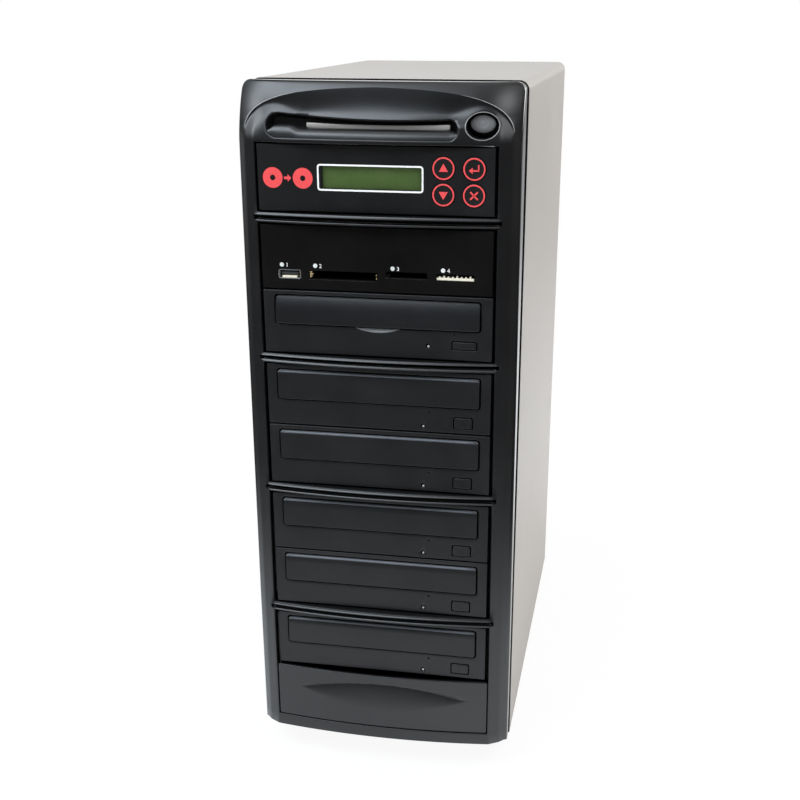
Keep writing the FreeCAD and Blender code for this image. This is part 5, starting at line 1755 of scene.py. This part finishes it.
def mirrorRays(tree):
    rays = lightRay(tree, "Is Glossy Ray") + lightRay(tree, "Is Transmission Ray")
    return rays.maths("MINIMUM", rays, 1.0)


def makeWorld():
    world = bpy.data.worlds.new("whiteStudio")
    world.use_nodes = True
    bpy.context.scene.world = world
    tree = world.node_tree
    aim = Flow(tree).add("TexCoord", {}, {}, "Generated")
    upward = alongAxis(aim, "Z")
    behind = contrast(alongAxis(aim, "Y"), *studio["behind"])
    ceiling = contrast(upward, *studio["ceiling"])
    room = behind * (1 - ceiling) * (1 - studio["roomLevel"]) + studio["roomLevel"]
    room = room + contrast(upward, *studio["overhead"]) * (1 - studio["roomLevel"])
    mirrored = mirrorRays(tree)
    light = mirrored * room + (1 - mirrored) * studio["ambient"]
    camera = lightRay(tree, "Is Camera Ray")
    (camera + (1 - camera) * light).feeds(tree.nodes["Background"], "Strength")
    tree.nodes["Background"].inputs["Color"].default_value = (1, 1, 1, 1)


# The floor is white to the camera and dim far away in what mirrors it
def paleFloor():
    fixed = {"Base Color": (*[studio["floorColour"]] * 3, 1), "Roughness": studio["floorRough"]}
    material, shader, place = newFinish("paleFloor", fixed | {"Specular IOR Level": 0.0})
    tree = material.node_tree
    depth = alongAxis(place, "Y")
    side = alongAxis(place, "X")
    backward = contrast(depth, *studio["backFade"])
    between = contrast(side, *studio["leftFade"]) * contrast(side, *studio["rightFade"])
    near = contrast(depth, *studio["floorFade"]) * between.maths("MAXIMUM", between, backward)
    paint = Flow(tree, shader.outputs[0])
    white = paint.add("Emission", {}, {"Color": (1, 1, 1, 1), "Strength": 1.0})
    dim = paint.add("Emission", {}, {"Color": (1, 1, 1, 1), "Strength": studio["farFloor"]})
    lift = lightRay(tree, "Is Camera Ray") * (backward * (1 - studio["floorLift"]) + studio["floorLift"])
    lifted = paint.add("MixShader", {}, {0: lift, 1: paint, 2: white})
    mixed = paint.add("MixShader", {}, {0: mirrorRays(tree) * (1 - near), 1: lifted, 2: dim})
    mixed.feeds(tree.nodes["Material Output"], "Surface")
    return material


def makeFloor():
    bm = bmesh.new()
    bmesh.ops.create_grid(bm, x_segments=4, y_segments=4, size=studio["floorSize"] / 2)
    mesh = bpy.data.meshes.new("studioFloor")
    bm.to_mesh(mesh)
    bm.free()
    mesh.materials.append(paleFloor())
    floor = bpy.data.objects.new("studioFloor", mesh)
    bpy.context.scene.collection.objects.link(floor)


def addLamp(name, kind, settings, place, target):
    data = bpy.data.lights.new(name, kind)
    for key, value in settings.items():
        setattr(data, key, value)
    lamp = bpy.data.objects.new(name, data)
    lamp.location = place
    lamp.rotation_euler = (Vector(target) - Vector(place)).to_track_quat("-Z", "Y").to_euler()
    bpy.context.scene.collection.objects.link(lamp)
    return lamp


makeCamera()
makeWorld()
makeFloor()
for name, (place, size, power, colour) in softboxes.items():
    settings = {"shape": "RECTANGLE", "size": size[0], "size_y": size[1], "energy": power, "color": colour}
    addLamp(name, "AREA", settings, place, studio["aim"])
sunSettings = {"energy": studio["sunStrength"], "angle": math.radians(studio["sunAngle"])}
sky = addLamp("skyLight", "SUN", sunSettings, studio["sunPlace"], (0, 0, 0))
sky.visible_glossy = False
bpy.context.scene.view_settings.view_transform = "Standard"
print("studio set")
